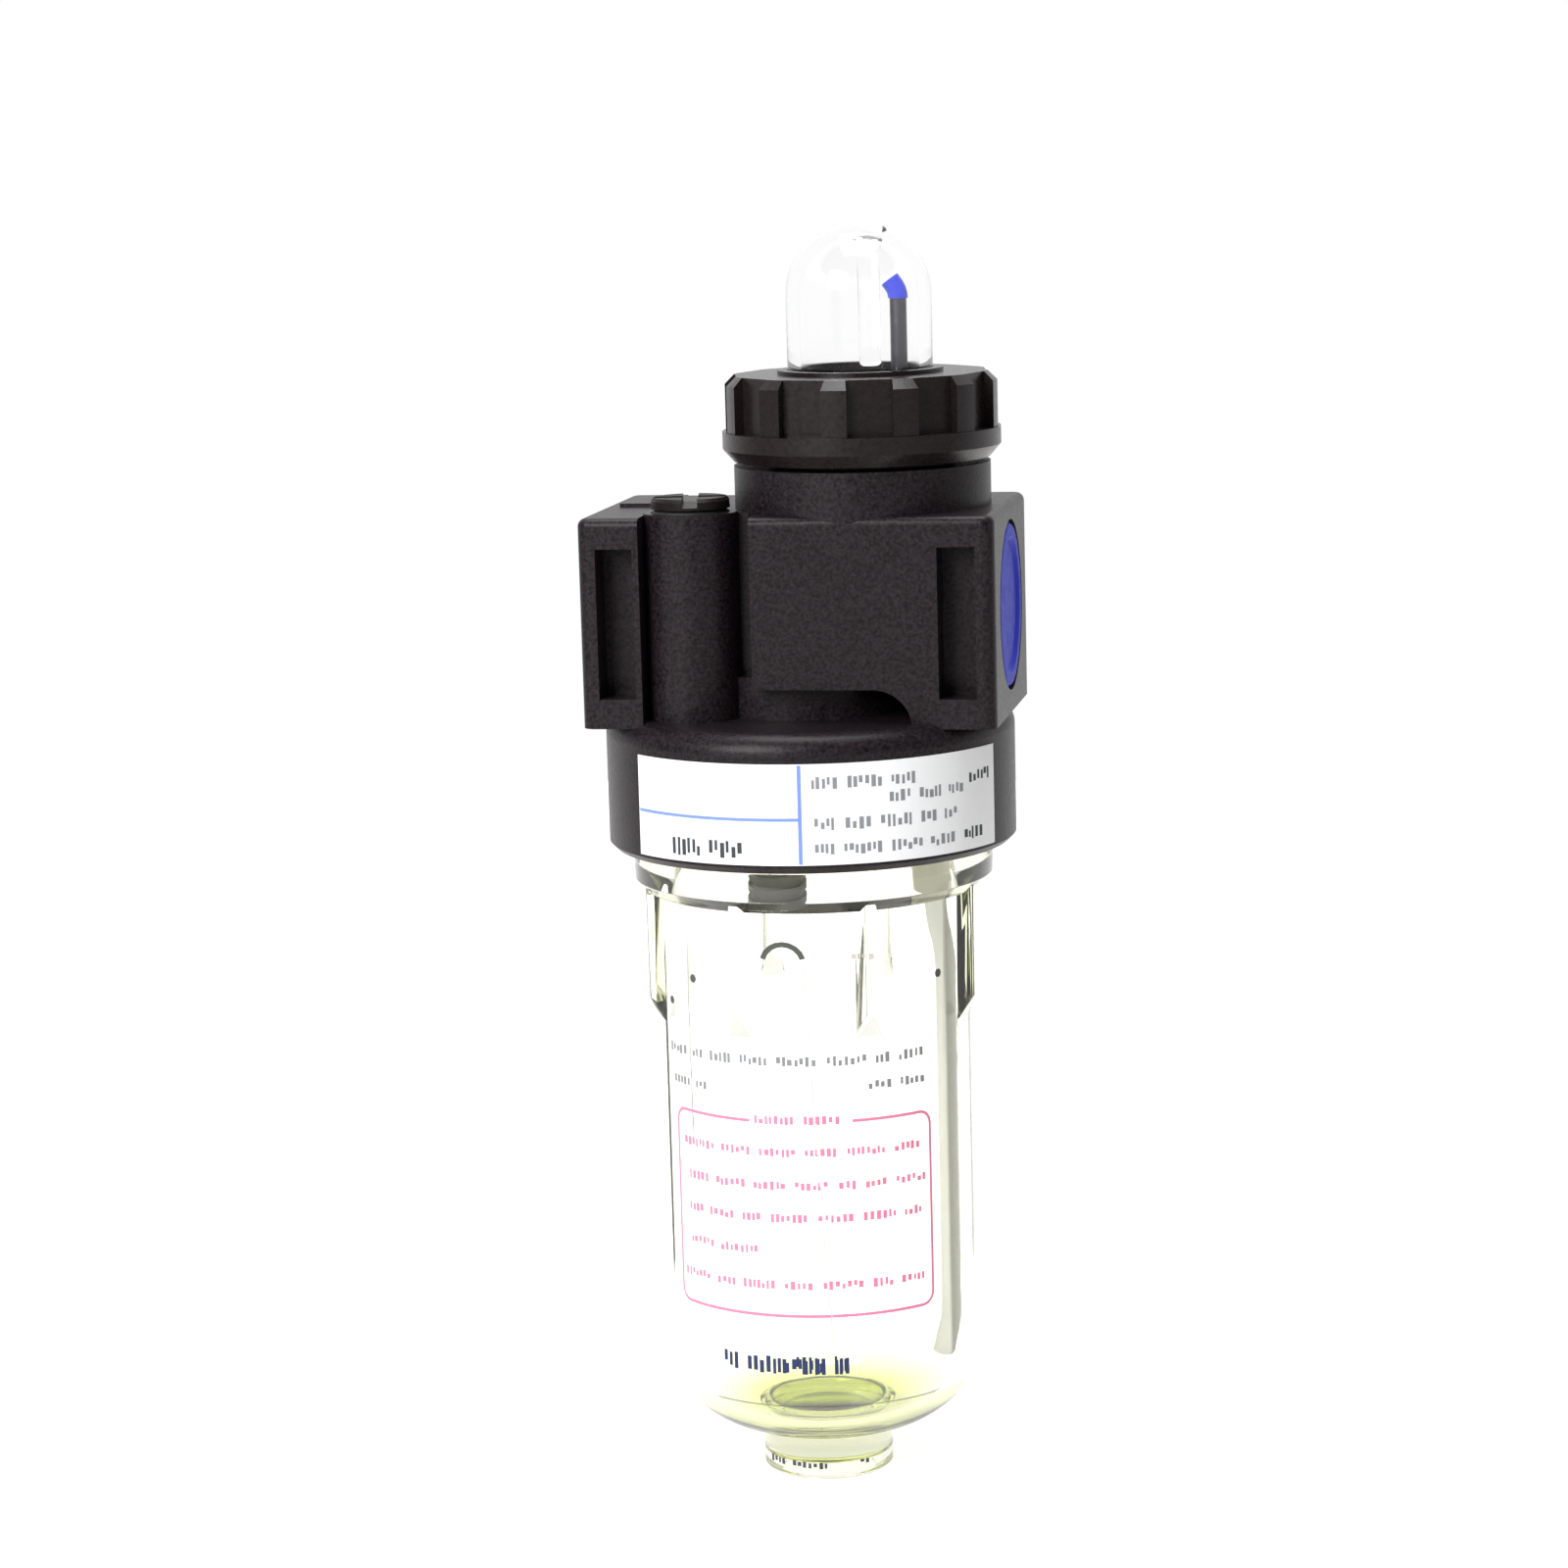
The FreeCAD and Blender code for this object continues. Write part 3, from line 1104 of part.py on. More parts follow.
def make_siphon_tube():
    """The tube set out along the bowl's wall, down to its floor, with a slanted foot."""
    top_z = CEILING_Z - S["fitting_length"] + S["tube_socket"]
    body = body_named("siphon_tube", SIPHON_X, S["siphon_y"], top_z)
    turn, wide = S["siphon_set_angle"], S["siphon_set_r"]
    set_x = wide * (as_size(1) - cosine(turn))
    set_z = -S["tube_socket"] - S["siphon_set_drop"]
    set_height = wide * sine(turn)
    angle, bend = S["siphon_bend_angle"], S["siphon_bend_r"]
    foot_x = set_x * 2 - bend * (as_size(1) - cosine(angle))
    foot_z = S["siphon_foot_z"] - top_z + S["siphon_foot"] * cosine(angle)
    tube_along(body, "siphon_tube", [
        (0, 0),
        (0, set_z),
        (set_x, set_z - set_height, "left", wide),
        (set_x * 2, set_z - set_height * 2, "right", wide),
        (set_x * 2, foot_z + bend * sine(angle)),
        (foot_x, foot_z, "right", bend),
        (foot_x - S["siphon_foot"] * sine(angle), S["siphon_foot_z"] - top_z)],
        S["siphon_tube_r"], S["siphon_bore_r"])
    return body


def make_bleed_fitting():
    """The grooved fitting that lets line air into the bowl."""
    body = body_named("bleed_fitting", -S["bleed_x"], 0, CEILING_Z)
    bottom = -S["bleed_length"]
    grooves = []
    for index in range(int(S["bleed_groove_count"].value)):
        low = bottom + S["bleed_groove_pitch"] * (index + 0.5)
        high = low + S["bleed_groove_pitch"] / 2
        inner = S["bleed_r"] - S["bleed_groove"]
        grooves += [(S["bleed_r"], low), (inner, low), (inner, high), (S["bleed_r"], high)]
    turned(body, "bleed", [
        (S["bleed_hole_r"], bottom),
        (S["bleed_r"], bottom)] + grooves + [
        (S["bleed_r"], 0),
        (S["bleed_thread_r"], 0),
        (S["bleed_thread_r"], S["bleed_thread"]),
        (S["bleed_hole_r"], S["bleed_thread"])])
    return body


def make_seals():
    """The four seal rings, each centred in its groove."""
    return [
        ring("bowl_seal", 0, 0, S["collar_bottom"] + S["bowl_seal_rise"],
             SOCKET_R - S["turning_gap"] - S["bowl_seal_r"], S["bowl_seal_r"]),
        ring("dome_seal", S["turret_x"], 0, DOME_SEAL_Z, DOME_SEAL_R, S["dome_seal_r"]),
        ring("stem_seal", S["turret_x"], 0, STEM_SEAL_Z, STEM_SEAL_R, S["stem_seal_r"]),
        ring("filler_plug_seal", -S["boss_x"], -S["boss_y"],
             FILLER_SEAT_Z + S["plug_seal_r"] + S["turning_gap"],
             PLUG_SEAL_R, S["plug_seal_r"])]


def check_and_save(parts):
    """Stops on any failed object or bad shape, then writes one file for each sub-part."""
    doc.recompute()
    for thing in doc.Objects:
        if "Invalid" in thing.State or "Error" in thing.State:
            raise ValueError("%s failed: %s" % (thing.Label, thing.State))
    for part in parts:
        if part.Shape.isNull() or not part.Shape.isValid():
            raise ValueError(part.Label + " has no valid shape")
    os.makedirs("parts", exist_ok=True)
    for part in parts:
        part.Shape.exportStep(os.path.join("parts", part.Label + ".step"))
        print("%-18s %9.1f mm3" % (part.Label, part.Shape.Volume))


check_and_save([
    make_body(), make_needle_seat(), make_bleed_fitting(), make_siphon_fitting(),
    make_ball_stop(), make_siphon_tube(), make_damper_holder(), make_flow_damper(),
    make_rating_label(), make_feed_knob(), make_sight_dome(), make_dome_gasket(),
    make_drip_block(), make_drip_tube(), make_drip_tip(), make_metering_needle(),
    make_filler_plug(), make_outlet_cap(), make_bowl(), make_check_ball()]
    + make_seals())
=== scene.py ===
# %% [markdown]
# # An air line lubricator, piece by piece
#
# The object stands in a compressed-air line and adds a mist of oil to the air. Its castings,
# fittings and moving pieces are already solids in the frame, each one in its place. This
# lesson gives them finishes, makes the two clear mouldings again with meshes fine enough
# for refraction, and adds the prints, the oil and the light.

import math
import random

import bmesh
import bpy
from mathutils import Matrix, Vector


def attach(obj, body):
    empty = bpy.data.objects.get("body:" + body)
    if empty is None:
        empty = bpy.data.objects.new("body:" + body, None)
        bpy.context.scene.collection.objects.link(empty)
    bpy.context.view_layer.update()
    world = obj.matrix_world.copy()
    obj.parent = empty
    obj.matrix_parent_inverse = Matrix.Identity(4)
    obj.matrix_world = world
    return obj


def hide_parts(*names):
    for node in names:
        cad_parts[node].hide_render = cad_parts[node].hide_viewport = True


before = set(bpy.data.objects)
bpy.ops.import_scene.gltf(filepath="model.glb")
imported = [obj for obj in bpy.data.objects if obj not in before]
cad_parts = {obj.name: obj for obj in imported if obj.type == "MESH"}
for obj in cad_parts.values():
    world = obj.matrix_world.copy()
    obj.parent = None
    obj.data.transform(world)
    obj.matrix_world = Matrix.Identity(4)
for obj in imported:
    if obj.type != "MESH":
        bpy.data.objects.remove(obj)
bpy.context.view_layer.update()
MM = 0.001
print("nodes in the frame:", len(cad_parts))

# %% [markdown]
# ## Helpers for meshes
#
# Nearly every new piece here is round. A lathe would cut it from a profile, and so does
# bmesh: a few points at radius and height, joined by edges, are spun round an axis. A
# corner that is rounded on the real moulding gets an arc of its own radius first, because
# clear plastic shows a hard corner as a black line.

# %% Profiles and spinning
ROUND_STEPS = 6
ARC_DENSITY = 4
SPIN_STEPS = 96


def rounded_profile(corners):
    """Points in metres from corners in millimetres; (r, z, radius) becomes an arc."""
    points = []
    for index, corner in enumerate(corners):
        here, before, after = (Vector((near[0], near[1])) for near in (
            corner, corners[index - 1], corners[(index + 1) % len(corners)]))
        if len(corner) == 2:
            points.append(Vector((here.x, 0, here.y)) * MM)
            continue
        before, after = (before - here).normalized(), (after - here).normalized()
        half = before.angle(after) / 2
        centre = here + (before + after).normalized() * corner[2] / math.sin(half)
        ray = here + before * corner[2] / math.tan(half) - centre
        sweep = math.pi - 2 * half
        if before.x * after.y - before.y * after.x > 0:
            sweep = -sweep
        steps = max(ROUND_STEPS, round(abs(sweep) * math.sqrt(corner[2]) * ARC_DENSITY))
        for step in range(steps + 1):
            angle = sweep * step / steps
            turned = Vector((ray.x * math.cos(angle) - ray.y * math.sin(angle),
                             ray.x * math.sin(angle) + ray.y * math.cos(angle)))
            points.append(Vector((centre.x + turned.x, 0, centre.y + turned.y)) * MM)
    return points


def spun(corners, steps=SPIN_STEPS, at=(0, 0, 0)):
    """A bmesh turned from a profile round an upright axis through at, in millimetres."""
    bm = bmesh.new()
    rim = [bm.verts.new(point) for point in rounded_profile(corners)]
    on_axis = corners[0][0] == 0 and corners[-1][0] == 0
    loop = rim if on_axis else rim + [rim[0]]
    edges = [bm.edges.new(pair) for pair in zip(loop, loop[1:])]
    bmesh.ops.spin(bm, geom=rim + edges, cent=(0, 0, 0), axis=(0, 0, 1),
                   angle=math.tau, steps=steps, use_merge=True)
    bmesh.ops.remove_doubles(bm, verts=bm.verts, dist=1e-7)
    bmesh.ops.translate(bm, verts=bm.verts, vec=Vector(at) * MM)
    bmesh.ops.recalc_face_normals(bm, faces=bm.faces)
    return bm


# %% Turning a bmesh into a piece that rides on a body
SHARP_ANGLE = math.radians(32)


def piece(name, bm, body, material, replaces=()):
    """Links the finished object of a bmesh, at the origin, riding on its body."""
    for face in bm.faces:
        face.smooth = True
    for edge in bm.edges:
        edge.smooth = len(edge.link_faces) == 2 and edge.calc_face_angle(0) < SHARP_ANGLE
    mesh = bpy.data.meshes.new(name)
    bm.to_mesh(mesh)
    bm.free()
    mesh.materials.append(material)
    obj = bpy.data.objects.new(name, mesh)
    bpy.context.scene.collection.objects.link(obj)
    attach(obj, body)
    if replaces:
        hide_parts(*replaces)
    print("%-18s %6d faces on %s" % (name, len(mesh.polygons), body))


def united(base, added):
    """The union of two closed bmeshes, so that no wall is left inside clear plastic."""
    objects = []
    for name, bm in (("union_base", base), ("union_added", added)):
        mesh = bpy.data.meshes.new(name)
        bm.to_mesh(mesh)
        bm.free()
        objects.append(bpy.data.objects.new(name, mesh))
        bpy.context.scene.collection.objects.link(objects[-1])
    union = objects[0].modifiers.new("union", "BOOLEAN")
    union.operation, union.solver, union.object = "UNION", "EXACT", objects[1]
    seen = objects[0].evaluated_get(bpy.context.evaluated_depsgraph_get())
    result = bmesh.new()
    result.from_mesh(seen.to_mesh())
    seen.to_mesh_clear()
    for obj in objects:
        bpy.data.objects.remove(obj)
    bmesh.ops.remove_doubles(result, verts=result.verts, dist=1e-6)
    return result


# %% [markdown]
# ## Finishes
#
# A finish is a small node tree. Effects that several finishes share, here the fine grain
# of a casting or a moulding, are node groups with their own inputs, made once. Object
# coordinates are used, because they are true metres on every piece.

# %% The shared grain group
def grain_group():
    """Fine speckle: a value near one for the colour and a height for the bump."""
    group = bpy.data.node_groups.new("fine grain", "ShaderNodeTree")
    for name, kind, default in (("Grain size", "NodeSocketFloat", 0.3),
                                ("Contrast", "NodeSocketFloat", 0.2)):
        socket = group.interface.new_socket(name, in_out="INPUT", socket_type=kind)
        socket.default_value = default
    group.interface.new_socket("Shade", in_out="OUTPUT", socket_type="NodeSocketFloat")
    group.interface.new_socket("Height", in_out="OUTPUT", socket_type="NodeSocketFloat")
    nodes, links = group.nodes, group.links
    inside, out = nodes.new("NodeGroupInput"), nodes.new("NodeGroupOutput")
    place = nodes.new("ShaderNodeTexCoord")
    density = nodes.new("ShaderNodeMath")
    density.operation = "DIVIDE"
    density.inputs[0].default_value = 1 / MM
    links.new(inside.outputs["Grain size"], density.inputs[1])
    noise = nodes.new("ShaderNodeTexNoise")
    noise.inputs["Detail"].default_value = 3.0
    noise.inputs["Roughness"].default_value = 0.6
    links.new(place.outputs["Object"], noise.inputs["Vector"])
    links.new(density.outputs[0], noise.inputs["Scale"])
    centred = nodes.new("ShaderNodeMath")
    centred.operation = "SUBTRACT"
    centred.inputs[1].default_value = 0.5
    links.new(noise.outputs["Fac"], centred.inputs[0])
    shade = nodes.new("ShaderNodeMath")
    shade.operation = "MULTIPLY_ADD"
    shade.inputs[2].default_value = 1.0
    links.new(centred.outputs[0], shade.inputs[0])
    links.new(inside.outputs["Contrast"], shade.inputs[1])
    links.new(shade.outputs[0], out.inputs["Shade"])
    links.new(noise.outputs["Fac"], out.inputs["Height"])
    return group


FINE_GRAIN = grain_group()


# %% One function for every opaque finish
NOISE_LOW, NOISE_HIGH = 0.3, 0.7
ROUGHNESS_SPREAD = 0.15
BUMP_SHARE = 0.25


def finish(name, colour, roughness, grain=0.3, contrast=0.3, bump=0.1, specular=0.5,
           metallic=0.0):
    """An opaque finish; its grain, in millimetres, shows in colour, roughness and bump."""
    material = bpy.data.materials.new(name)
    material.use_nodes = True
    nodes, links = material.node_tree.nodes, material.node_tree.links
    shader = nodes["Principled BSDF"]
    shader.inputs["Metallic"].default_value = metallic
    shader.inputs["Specular IOR Level"].default_value = specular
    speckle = nodes.new("ShaderNodeGroup")
    speckle.node_tree = FINE_GRAIN
    speckle.inputs["Grain size"].default_value = grain
    speckle.inputs["Contrast"].default_value = contrast
    tint = nodes.new("ShaderNodeMix")
    tint.data_type, tint.blend_type = "RGBA", "MULTIPLY"
    tint.inputs["Factor"].default_value = 1.0
    tint.inputs["A"].default_value = (*colour, 1.0)
    links.new(speckle.outputs["Shade"], tint.inputs["B"])
    links.new(tint.outputs["Result"], shader.inputs["Base Color"])
    rough = nodes.new("ShaderNodeMapRange")
    rough.inputs["From Min"].default_value = NOISE_LOW
    rough.inputs["From Max"].default_value = NOISE_HIGH
    rough.inputs["To Min"].default_value = roughness * (1 - ROUGHNESS_SPREAD)
    rough.inputs["To Max"].default_value = roughness * (1 + ROUGHNESS_SPREAD)
    links.new(speckle.outputs["Height"], rough.inputs["Value"])
    links.new(rough.outputs["Result"], shader.inputs["Roughness"])
    relief = nodes.new("ShaderNodeBump")
    relief.inputs["Strength"].default_value = bump
    relief.inputs["Distance"].default_value = grain * BUMP_SHARE * MM
    links.new(speckle.outputs["Height"], relief.inputs["Height"])
    links.new(relief.outputs["Normal"], shader.inputs["Normal"])
    return material


# %% Clear plastic and oil
WHITE = (1.0, 1.0, 1.0, 1.0)
CLEAR_ROUGHNESS = 0.02
RIPPLE_SIZE, RIPPLE_STRENGTH, RIPPLE_HEIGHT = 6.0, 0.08, 0.1


def clear(name, ior, depth_tint, depth_density):
    """Full transmission, faint ripples, and a tint that grows with the depth of plastic."""
    material = bpy.data.materials.new(name)
    material.use_nodes = True
    nodes, links = material.node_tree.nodes, material.node_tree.links
    shader = nodes["Principled BSDF"]
    shader.inputs["Base Color"].default_value = WHITE
    shader.inputs["Roughness"].default_value = CLEAR_ROUGHNESS
    shader.inputs["IOR"].default_value = ior
    shader.inputs["Transmission Weight"].default_value = 1.0
    speckle = nodes.new("ShaderNodeGroup")
    speckle.node_tree = FINE_GRAIN
    speckle.inputs["Grain size"].default_value = RIPPLE_SIZE
    relief = nodes.new("ShaderNodeBump")
    relief.inputs["Strength"].default_value = RIPPLE_STRENGTH
    relief.inputs["Distance"].default_value = RIPPLE_HEIGHT * MM
    links.new(speckle.outputs["Height"], relief.inputs["Height"])
    links.new(relief.outputs["Normal"], shader.inputs["Normal"])
    depth = nodes.new("ShaderNodeVolumeAbsorption")
    depth.inputs["Color"].default_value = (*depth_tint, 1.0)
    depth.inputs["Density"].default_value = depth_density
    links.new(depth.outputs["Volume"], nodes["Material Output"].inputs["Volume"])
    return material


# %% The finishes of this object
# After the colour: roughness, grain in millimetres, contrast, bump, specular, metallic.
# After the name of a clear one: index of refraction, tint, and density of the tint.
cast_black = finish("cast black paint", (0.012, 0.0082, 0.0105), 0.38, 0.32, 4.4, 0.40, 0.18)
knob_black = finish("knob black plastic", (0.011, 0.0068, 0.0074), 0.30, 0.5, 0.8, 0.10, 0.32)
inner_black = finish("drip block black plastic", (0.02, 0.02, 0.021), 0.5)
label_film = finish("label film", (0.90, 0.91, 0.93), 0.32, 1.2, 0.04, 0.03)
ink_blue = finish("blue ink", (0.18, 0.28, 0.80), 0.5, 0.6, 0.2, 0.02)
ink_grey = finish("grey ink", (0.24, 0.25, 0.27), 0.5, 0.6, 0.2, 0.02)
ink_rose = finish("rose ink", (0.86, 0.22, 0.38), 0.5, 0.6, 0.2, 0.02)
ink_dark = finish("dark grey ink", (0.050, 0.055, 0.060), 0.5, 0.6, 0.2, 0.02, 0.2)
# Painted shade: a dark grey for marks on the bowl that stand for dark lines seen through the
# clear plastic.
painted_shade_grey = finish("painted shade grey", (0.085, 0.095, 0.085), 0.5, 0.6, 0.2, 0.02, 0.2)
ink_faint = finish("mould line grey", (0.62, 0.62, 0.58), 0.5, 0.6, 0.2, 0.02)
ink_navy = finish("navy ink", (0.030, 0.042, 0.12), 0.5, 0.6, 0.2, 0.02, 0.2)
cap_blue = finish("cap blue plastic", (0.044, 0.056, 0.52), 0.5, 0.8, 0.15, 0.08, 0.06)
tip_blue = finish("sleeve blue plastic", (0.04, 0.06, 0.60), 0.3, 0.5, 0.1, 0.03)
tube_olive = finish("siphon tube plastic", (0.84, 0.84, 0.79), 0.5, 0.8, 0.1, 0.03, 0.1)
bleed_grey = finish("bleed fitting plastic", (0.075, 0.070, 0.064), 0.45, 0.5, 0.3, 0.08, 0.2)
fitting_white = finish("fitting plastic", (0.70, 0.69, 0.58), 0.38, 0.8, 0.08, 0.04, 0.3)
holder_white = finish("holder plastic", (0.66, 0.66, 0.62), 0.5, 0.6, 0.1, 0.06)
dark_steel = finish("darkened steel", (0.10, 0.10, 0.11), 0.32, 0.4, 0.3, 0.05, 0.5, 1.0)
ground_steel = finish("ground steel", (0.60, 0.60, 0.60), 0.22, 0.3, 0.2, 0.05, 0.5, 1.0)
plug_brass = finish("tarnished brass", (0.010, 0.008, 0.007), 0.45, 0.7, 1.2, 0.2, 0.12, 0.1)
turned_brass = finish("turned brass", (0.72, 0.55, 0.28), 0.28, 0.3, 0.2, 0.05, 0.5, 1.0)
rubber_black = finish("seal rubber", (0.018, 0.018, 0.018), 0.62, 0.3, 0.4, 0.15)
bowl_clear = clear("clear bowl plastic", 1.49, (0.89, 0.90, 0.76), 170)
dome_clear = clear("clear dome plastic", 1.30, (0.90, 0.92, 0.97), 20)
oil_clear = clear("residual oil", 1.46, (0.85, 0.89, 0.08), 1500)

# %% [markdown]
# One tube is pale with an olive side. The colour of its finish is mixed by the object's X
# coordinate, so the tube stays one whole piece. Where the olive begins was fitted to the
# picture's view. The dome's index of refraction is a look as well: it is lower than that
# of the bowl, because the dome's edges are then as pale as in the picture.

# %% Painted shade on the right side of the siphon tube
# The olive side is painted shade: the tube's right side is coloured darker, as it looks in
# this view.
SHADE_EDGE_X = 12.65
SHADE_BLEND = 0.2
SHADE_OLIVE = (0.15, 0.147, 0.100)


def painted_shade_side(material, edge_x, shade_colour):
    """Paints shade on a pale finish to the right of edge_x millimetres."""
    nodes, links = material.node_tree.nodes, material.node_tree.links
    place = nodes.new("ShaderNodeTexCoord")
    parts = nodes.new("ShaderNodeSeparateXYZ")
    links.new(place.outputs["Object"], parts.inputs[0])
    side = nodes.new("ShaderNodeMapRange")
    side.interpolation_type = "SMOOTHSTEP"
    side.inputs["From Min"].default_value = (edge_x - SHADE_BLEND) * MM
    side.inputs["From Max"].default_value = (edge_x + SHADE_BLEND) * MM
    links.new(parts.outputs["X"], side.inputs["Value"])
    shade_mix = nodes.new("ShaderNodeMix")
    shade_mix.data_type = "RGBA"
    shade_mix.inputs["B"].default_value = (*shade_colour, 1.0)
    links.new(side.outputs["Result"], shade_mix.inputs["Factor"])
    shader = nodes["Principled BSDF"]
    links.new(shader.inputs["Base Color"].links[0].from_socket, shade_mix.inputs["A"])
    links.new(shade_mix.outputs["Result"], shader.inputs["Base Color"])


painted_shade_side(tube_olive, SHADE_EDGE_X, SHADE_OLIVE)

# %% Give every node its finish
NODE_FINISH = {
    "body": cast_black, "feed_knob": knob_black, "drip_block": inner_black,
    "rating_label": label_film, "outlet_cap": cap_blue, "drip_tip": tip_blue,
    "drip_tube": dark_steel, "siphon_tube": tube_olive, "bleed_fitting": bleed_grey,
    "siphon_fitting": fitting_white, "damper_holder": holder_white,
    "flow_damper": rubber_black, "dome_gasket": rubber_black, "filler_plug": plug_brass,
    "needle_seat": turned_brass, "ball_stop": turned_brass,
    "metering_needle": ground_steel, "check_ball": ground_steel,
    "bowl_seal": rubber_black, "dome_seal": rubber_black, "stem_seal": rubber_black,
    "filler_plug_seal": rubber_black,
}
for node, material in NODE_FINISH.items():
    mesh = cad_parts[node].data
    if not mesh.materials:
        mesh.materials.append(material)
    for index in range(len(mesh.materials)):
        mesh.materials[index] = material
print("finishes on", len(NODE_FINISH), "nodes")

# %% [markdown]
# ## The bowl
#
# The bowl is one moulding of clear polycarbonate: a ring foot, a round bottom, a plain
# wall, eight grip ribs under a flange, and a neck that goes up into the collar. It is
# spun from one closed profile. The ribs are small wedges, put in place with turned
# copies and united with the wall, so that light meets one skin only.

# %% Spin the bowl
BOWL_PROFILE = [
    (0, 1.5), (4.6, 1.5, 0.3), (4.6, 0, 0.3), (6.5, 0, 0.5), (6.5, 4.6, 0.25),
    (6.9, 5.0, 0.2), (16.0, 5.0, 9.0), (16.0, 59.6, 0.1), (16.5, 59.6, 0.1),
    (17.7, 60.8, 0.2), (17.7, 63.8, 0.3), (16.9, 63.8), (16.9, 70.5), (15.35, 70.5),
    (15.35, 72.2), (16.9, 72.2), (16.9, 73.1, 0.2), (14.3, 73.1, 0.3), (14.1, 6.5, 7.3),
    (5.9, 6.5, 0.3), (5.9, 5.5, 0.3), (0, 5.5)]
BOWL_STEPS = 128
WALL_R = 16.0
RIB_COUNT = 8
RIB_TURN = 28.0
RIB_HALF_WIDTH = 1.5
RIB_CREST_SHARE = 0.3
RIB_CREST_R = 17.0
RIB_ROUND = 0.3
RIB_SIDE = [(15.1, 47.3), (16.05, 47.3), (17.2, 49.5), (17.25, 60.3), (15.1, 60.3)]


def ribs():
    """Eight drafted wedges from inside the wall out to the crest, with rounded edges."""
    bm = bmesh.new()
    verts = [bm.verts.new((r * MM, -RIB_HALF_WIDTH * MM, z * MM)) for r, z in RIB_SIDE]
    face = bm.faces.new(verts)
    grown = bmesh.ops.extrude_face_region(bm, geom=[face])
    moved = [part for part in grown["geom"] if isinstance(part, bmesh.types.BMVert)]
    bmesh.ops.translate(bm, verts=moved, vec=(0, 2 * RIB_HALF_WIDTH * MM, 0))
    crest = [vert for vert in bm.verts if vert.co.x > RIB_CREST_R * MM]
    bmesh.ops.scale(bm, verts=crest, vec=(1, RIB_CREST_SHARE, 1))
    bmesh.ops.recalc_face_normals(bm, faces=bm.faces)
    long_edges = [edge for edge in bm.edges
                  if min(v.co.x for v in edge.verts) > WALL_R * MM
                  and edge.verts[0].co.y * edge.verts[1].co.y > 0]
    bmesh.ops.bevel(bm, geom=long_edges, offset=RIB_ROUND * MM, offset_type="OFFSET",
                    affect="EDGES", segments=3, profile=0.5, material=-1)
    first = list(bm.verts) + list(bm.edges) + list(bm.faces)
    bmesh.ops.rotate(bm, verts=bm.verts, cent=(0, 0, 0),
                     matrix=Matrix.Rotation(math.radians(RIB_TURN), 3, "Z"))
    for index in range(1, RIB_COUNT):
        copy = bmesh.ops.duplicate(bm, geom=first)
        copied = [part for part in copy["geom"] if isinstance(part, bmesh.types.BMVert)]
        bmesh.ops.rotate(bm, verts=copied, cent=(0, 0, 0),
                         matrix=Matrix.Rotation(math.tau * index / RIB_COUNT, 3, "Z"))
    return bm


piece("clear_bowl", united(spun(BOWL_PROFILE, steps=BOWL_STEPS), ribs()), "bowl",
      bowl_clear, ["bowl"])

# %% [markdown]
# ## The oil in the bowl
#
# A little oil is left on the floor of the bowl, and seen from the side it gives the
# yellow-green band over the foot. It is a puddle with a thin film that climbs the round
# edge of the floor and is deeper in colour where it is seen along its length. The film
# overlaps the plastic a little, so that no gap of air shows between them.

# %% Spin the oil
FLOOR_CENTRE, FLOOR_BEND = (6.8, 13.8), 7.3
PUDDLE_R, PUDDLE_LOW, PUDDLE_TOP = 5.8, 5.56, 7.05
PUDDLE_ROUND, PUDDLE_EDGE = 0.2, 6.56
FILM_STEPS = 24
FILM_START, FILM_SWEEP = -90, 62
FILM_THIN, FILM_SWELL = 0.05, 0.5
OVERLAP = 0.03
puddle = [(0, PUDDLE_LOW), (PUDDLE_R, PUDDLE_LOW, PUDDLE_ROUND), (PUDDLE_R, PUDDLE_EDGE)]
under, over = [], []
for step in range(FILM_STEPS + 1):
    climb = math.radians(FILM_START + FILM_SWEEP * step / FILM_STEPS)
    depth = FILM_THIN + FILM_SWELL * (1 - step / FILM_STEPS) ** 2
    for bend_r, line in ((FLOOR_BEND + OVERLAP, under), (FLOOR_BEND - depth, over)):
        line.append((FLOOR_CENTRE[0] + bend_r * math.cos(climb),
                     FLOOR_CENTRE[1] + bend_r * math.sin(climb)))
piece("residual_oil", spun(puddle + under + over[::-1] + [(0, PUDDLE_TOP)]), "bowl",
      oil_clear)

# %% [markdown]
# ## The sight dome
#
# The dome over the drip deck is clear too, and a thin column hangs inside it. The shell
# is spun, the column is spun with a flare where it meets the shell, and the two are
# united.

# %% Spin the dome and its column
FEED_X = 5.75
DOME_TOP, DOME_WALL = 123.95, 1.25
DOME_PROFILE = [
    (5.75, 106.45), (9.3, 106.45, 0.2), (9.3, 108.05, 0.2), (7.0, 108.05, 0.3),
    (7.0, DOME_TOP, 6.95), (0, DOME_TOP), (0, DOME_TOP - DOME_WALL),
    (5.75, DOME_TOP - DOME_WALL, 5.7)]
COLUMN_OFFSET, COLUMN_STEPS = 1.0, 48
COLUMN_PROFILE = [(0, 110.05), (1.05, 110.05, 0.4), (1.05, 120.9), (1.5, 122.3), (0, 123.2)]
dome_shell = spun(DOME_PROFILE, at=(FEED_X, 0, 0))
column = spun(COLUMN_PROFILE, steps=COLUMN_STEPS, at=(FEED_X + COLUMN_OFFSET, 0, 0))
piece("clear_dome", united(dome_shell, column), "feed_head", dome_clear,
      ["sight_dome"])
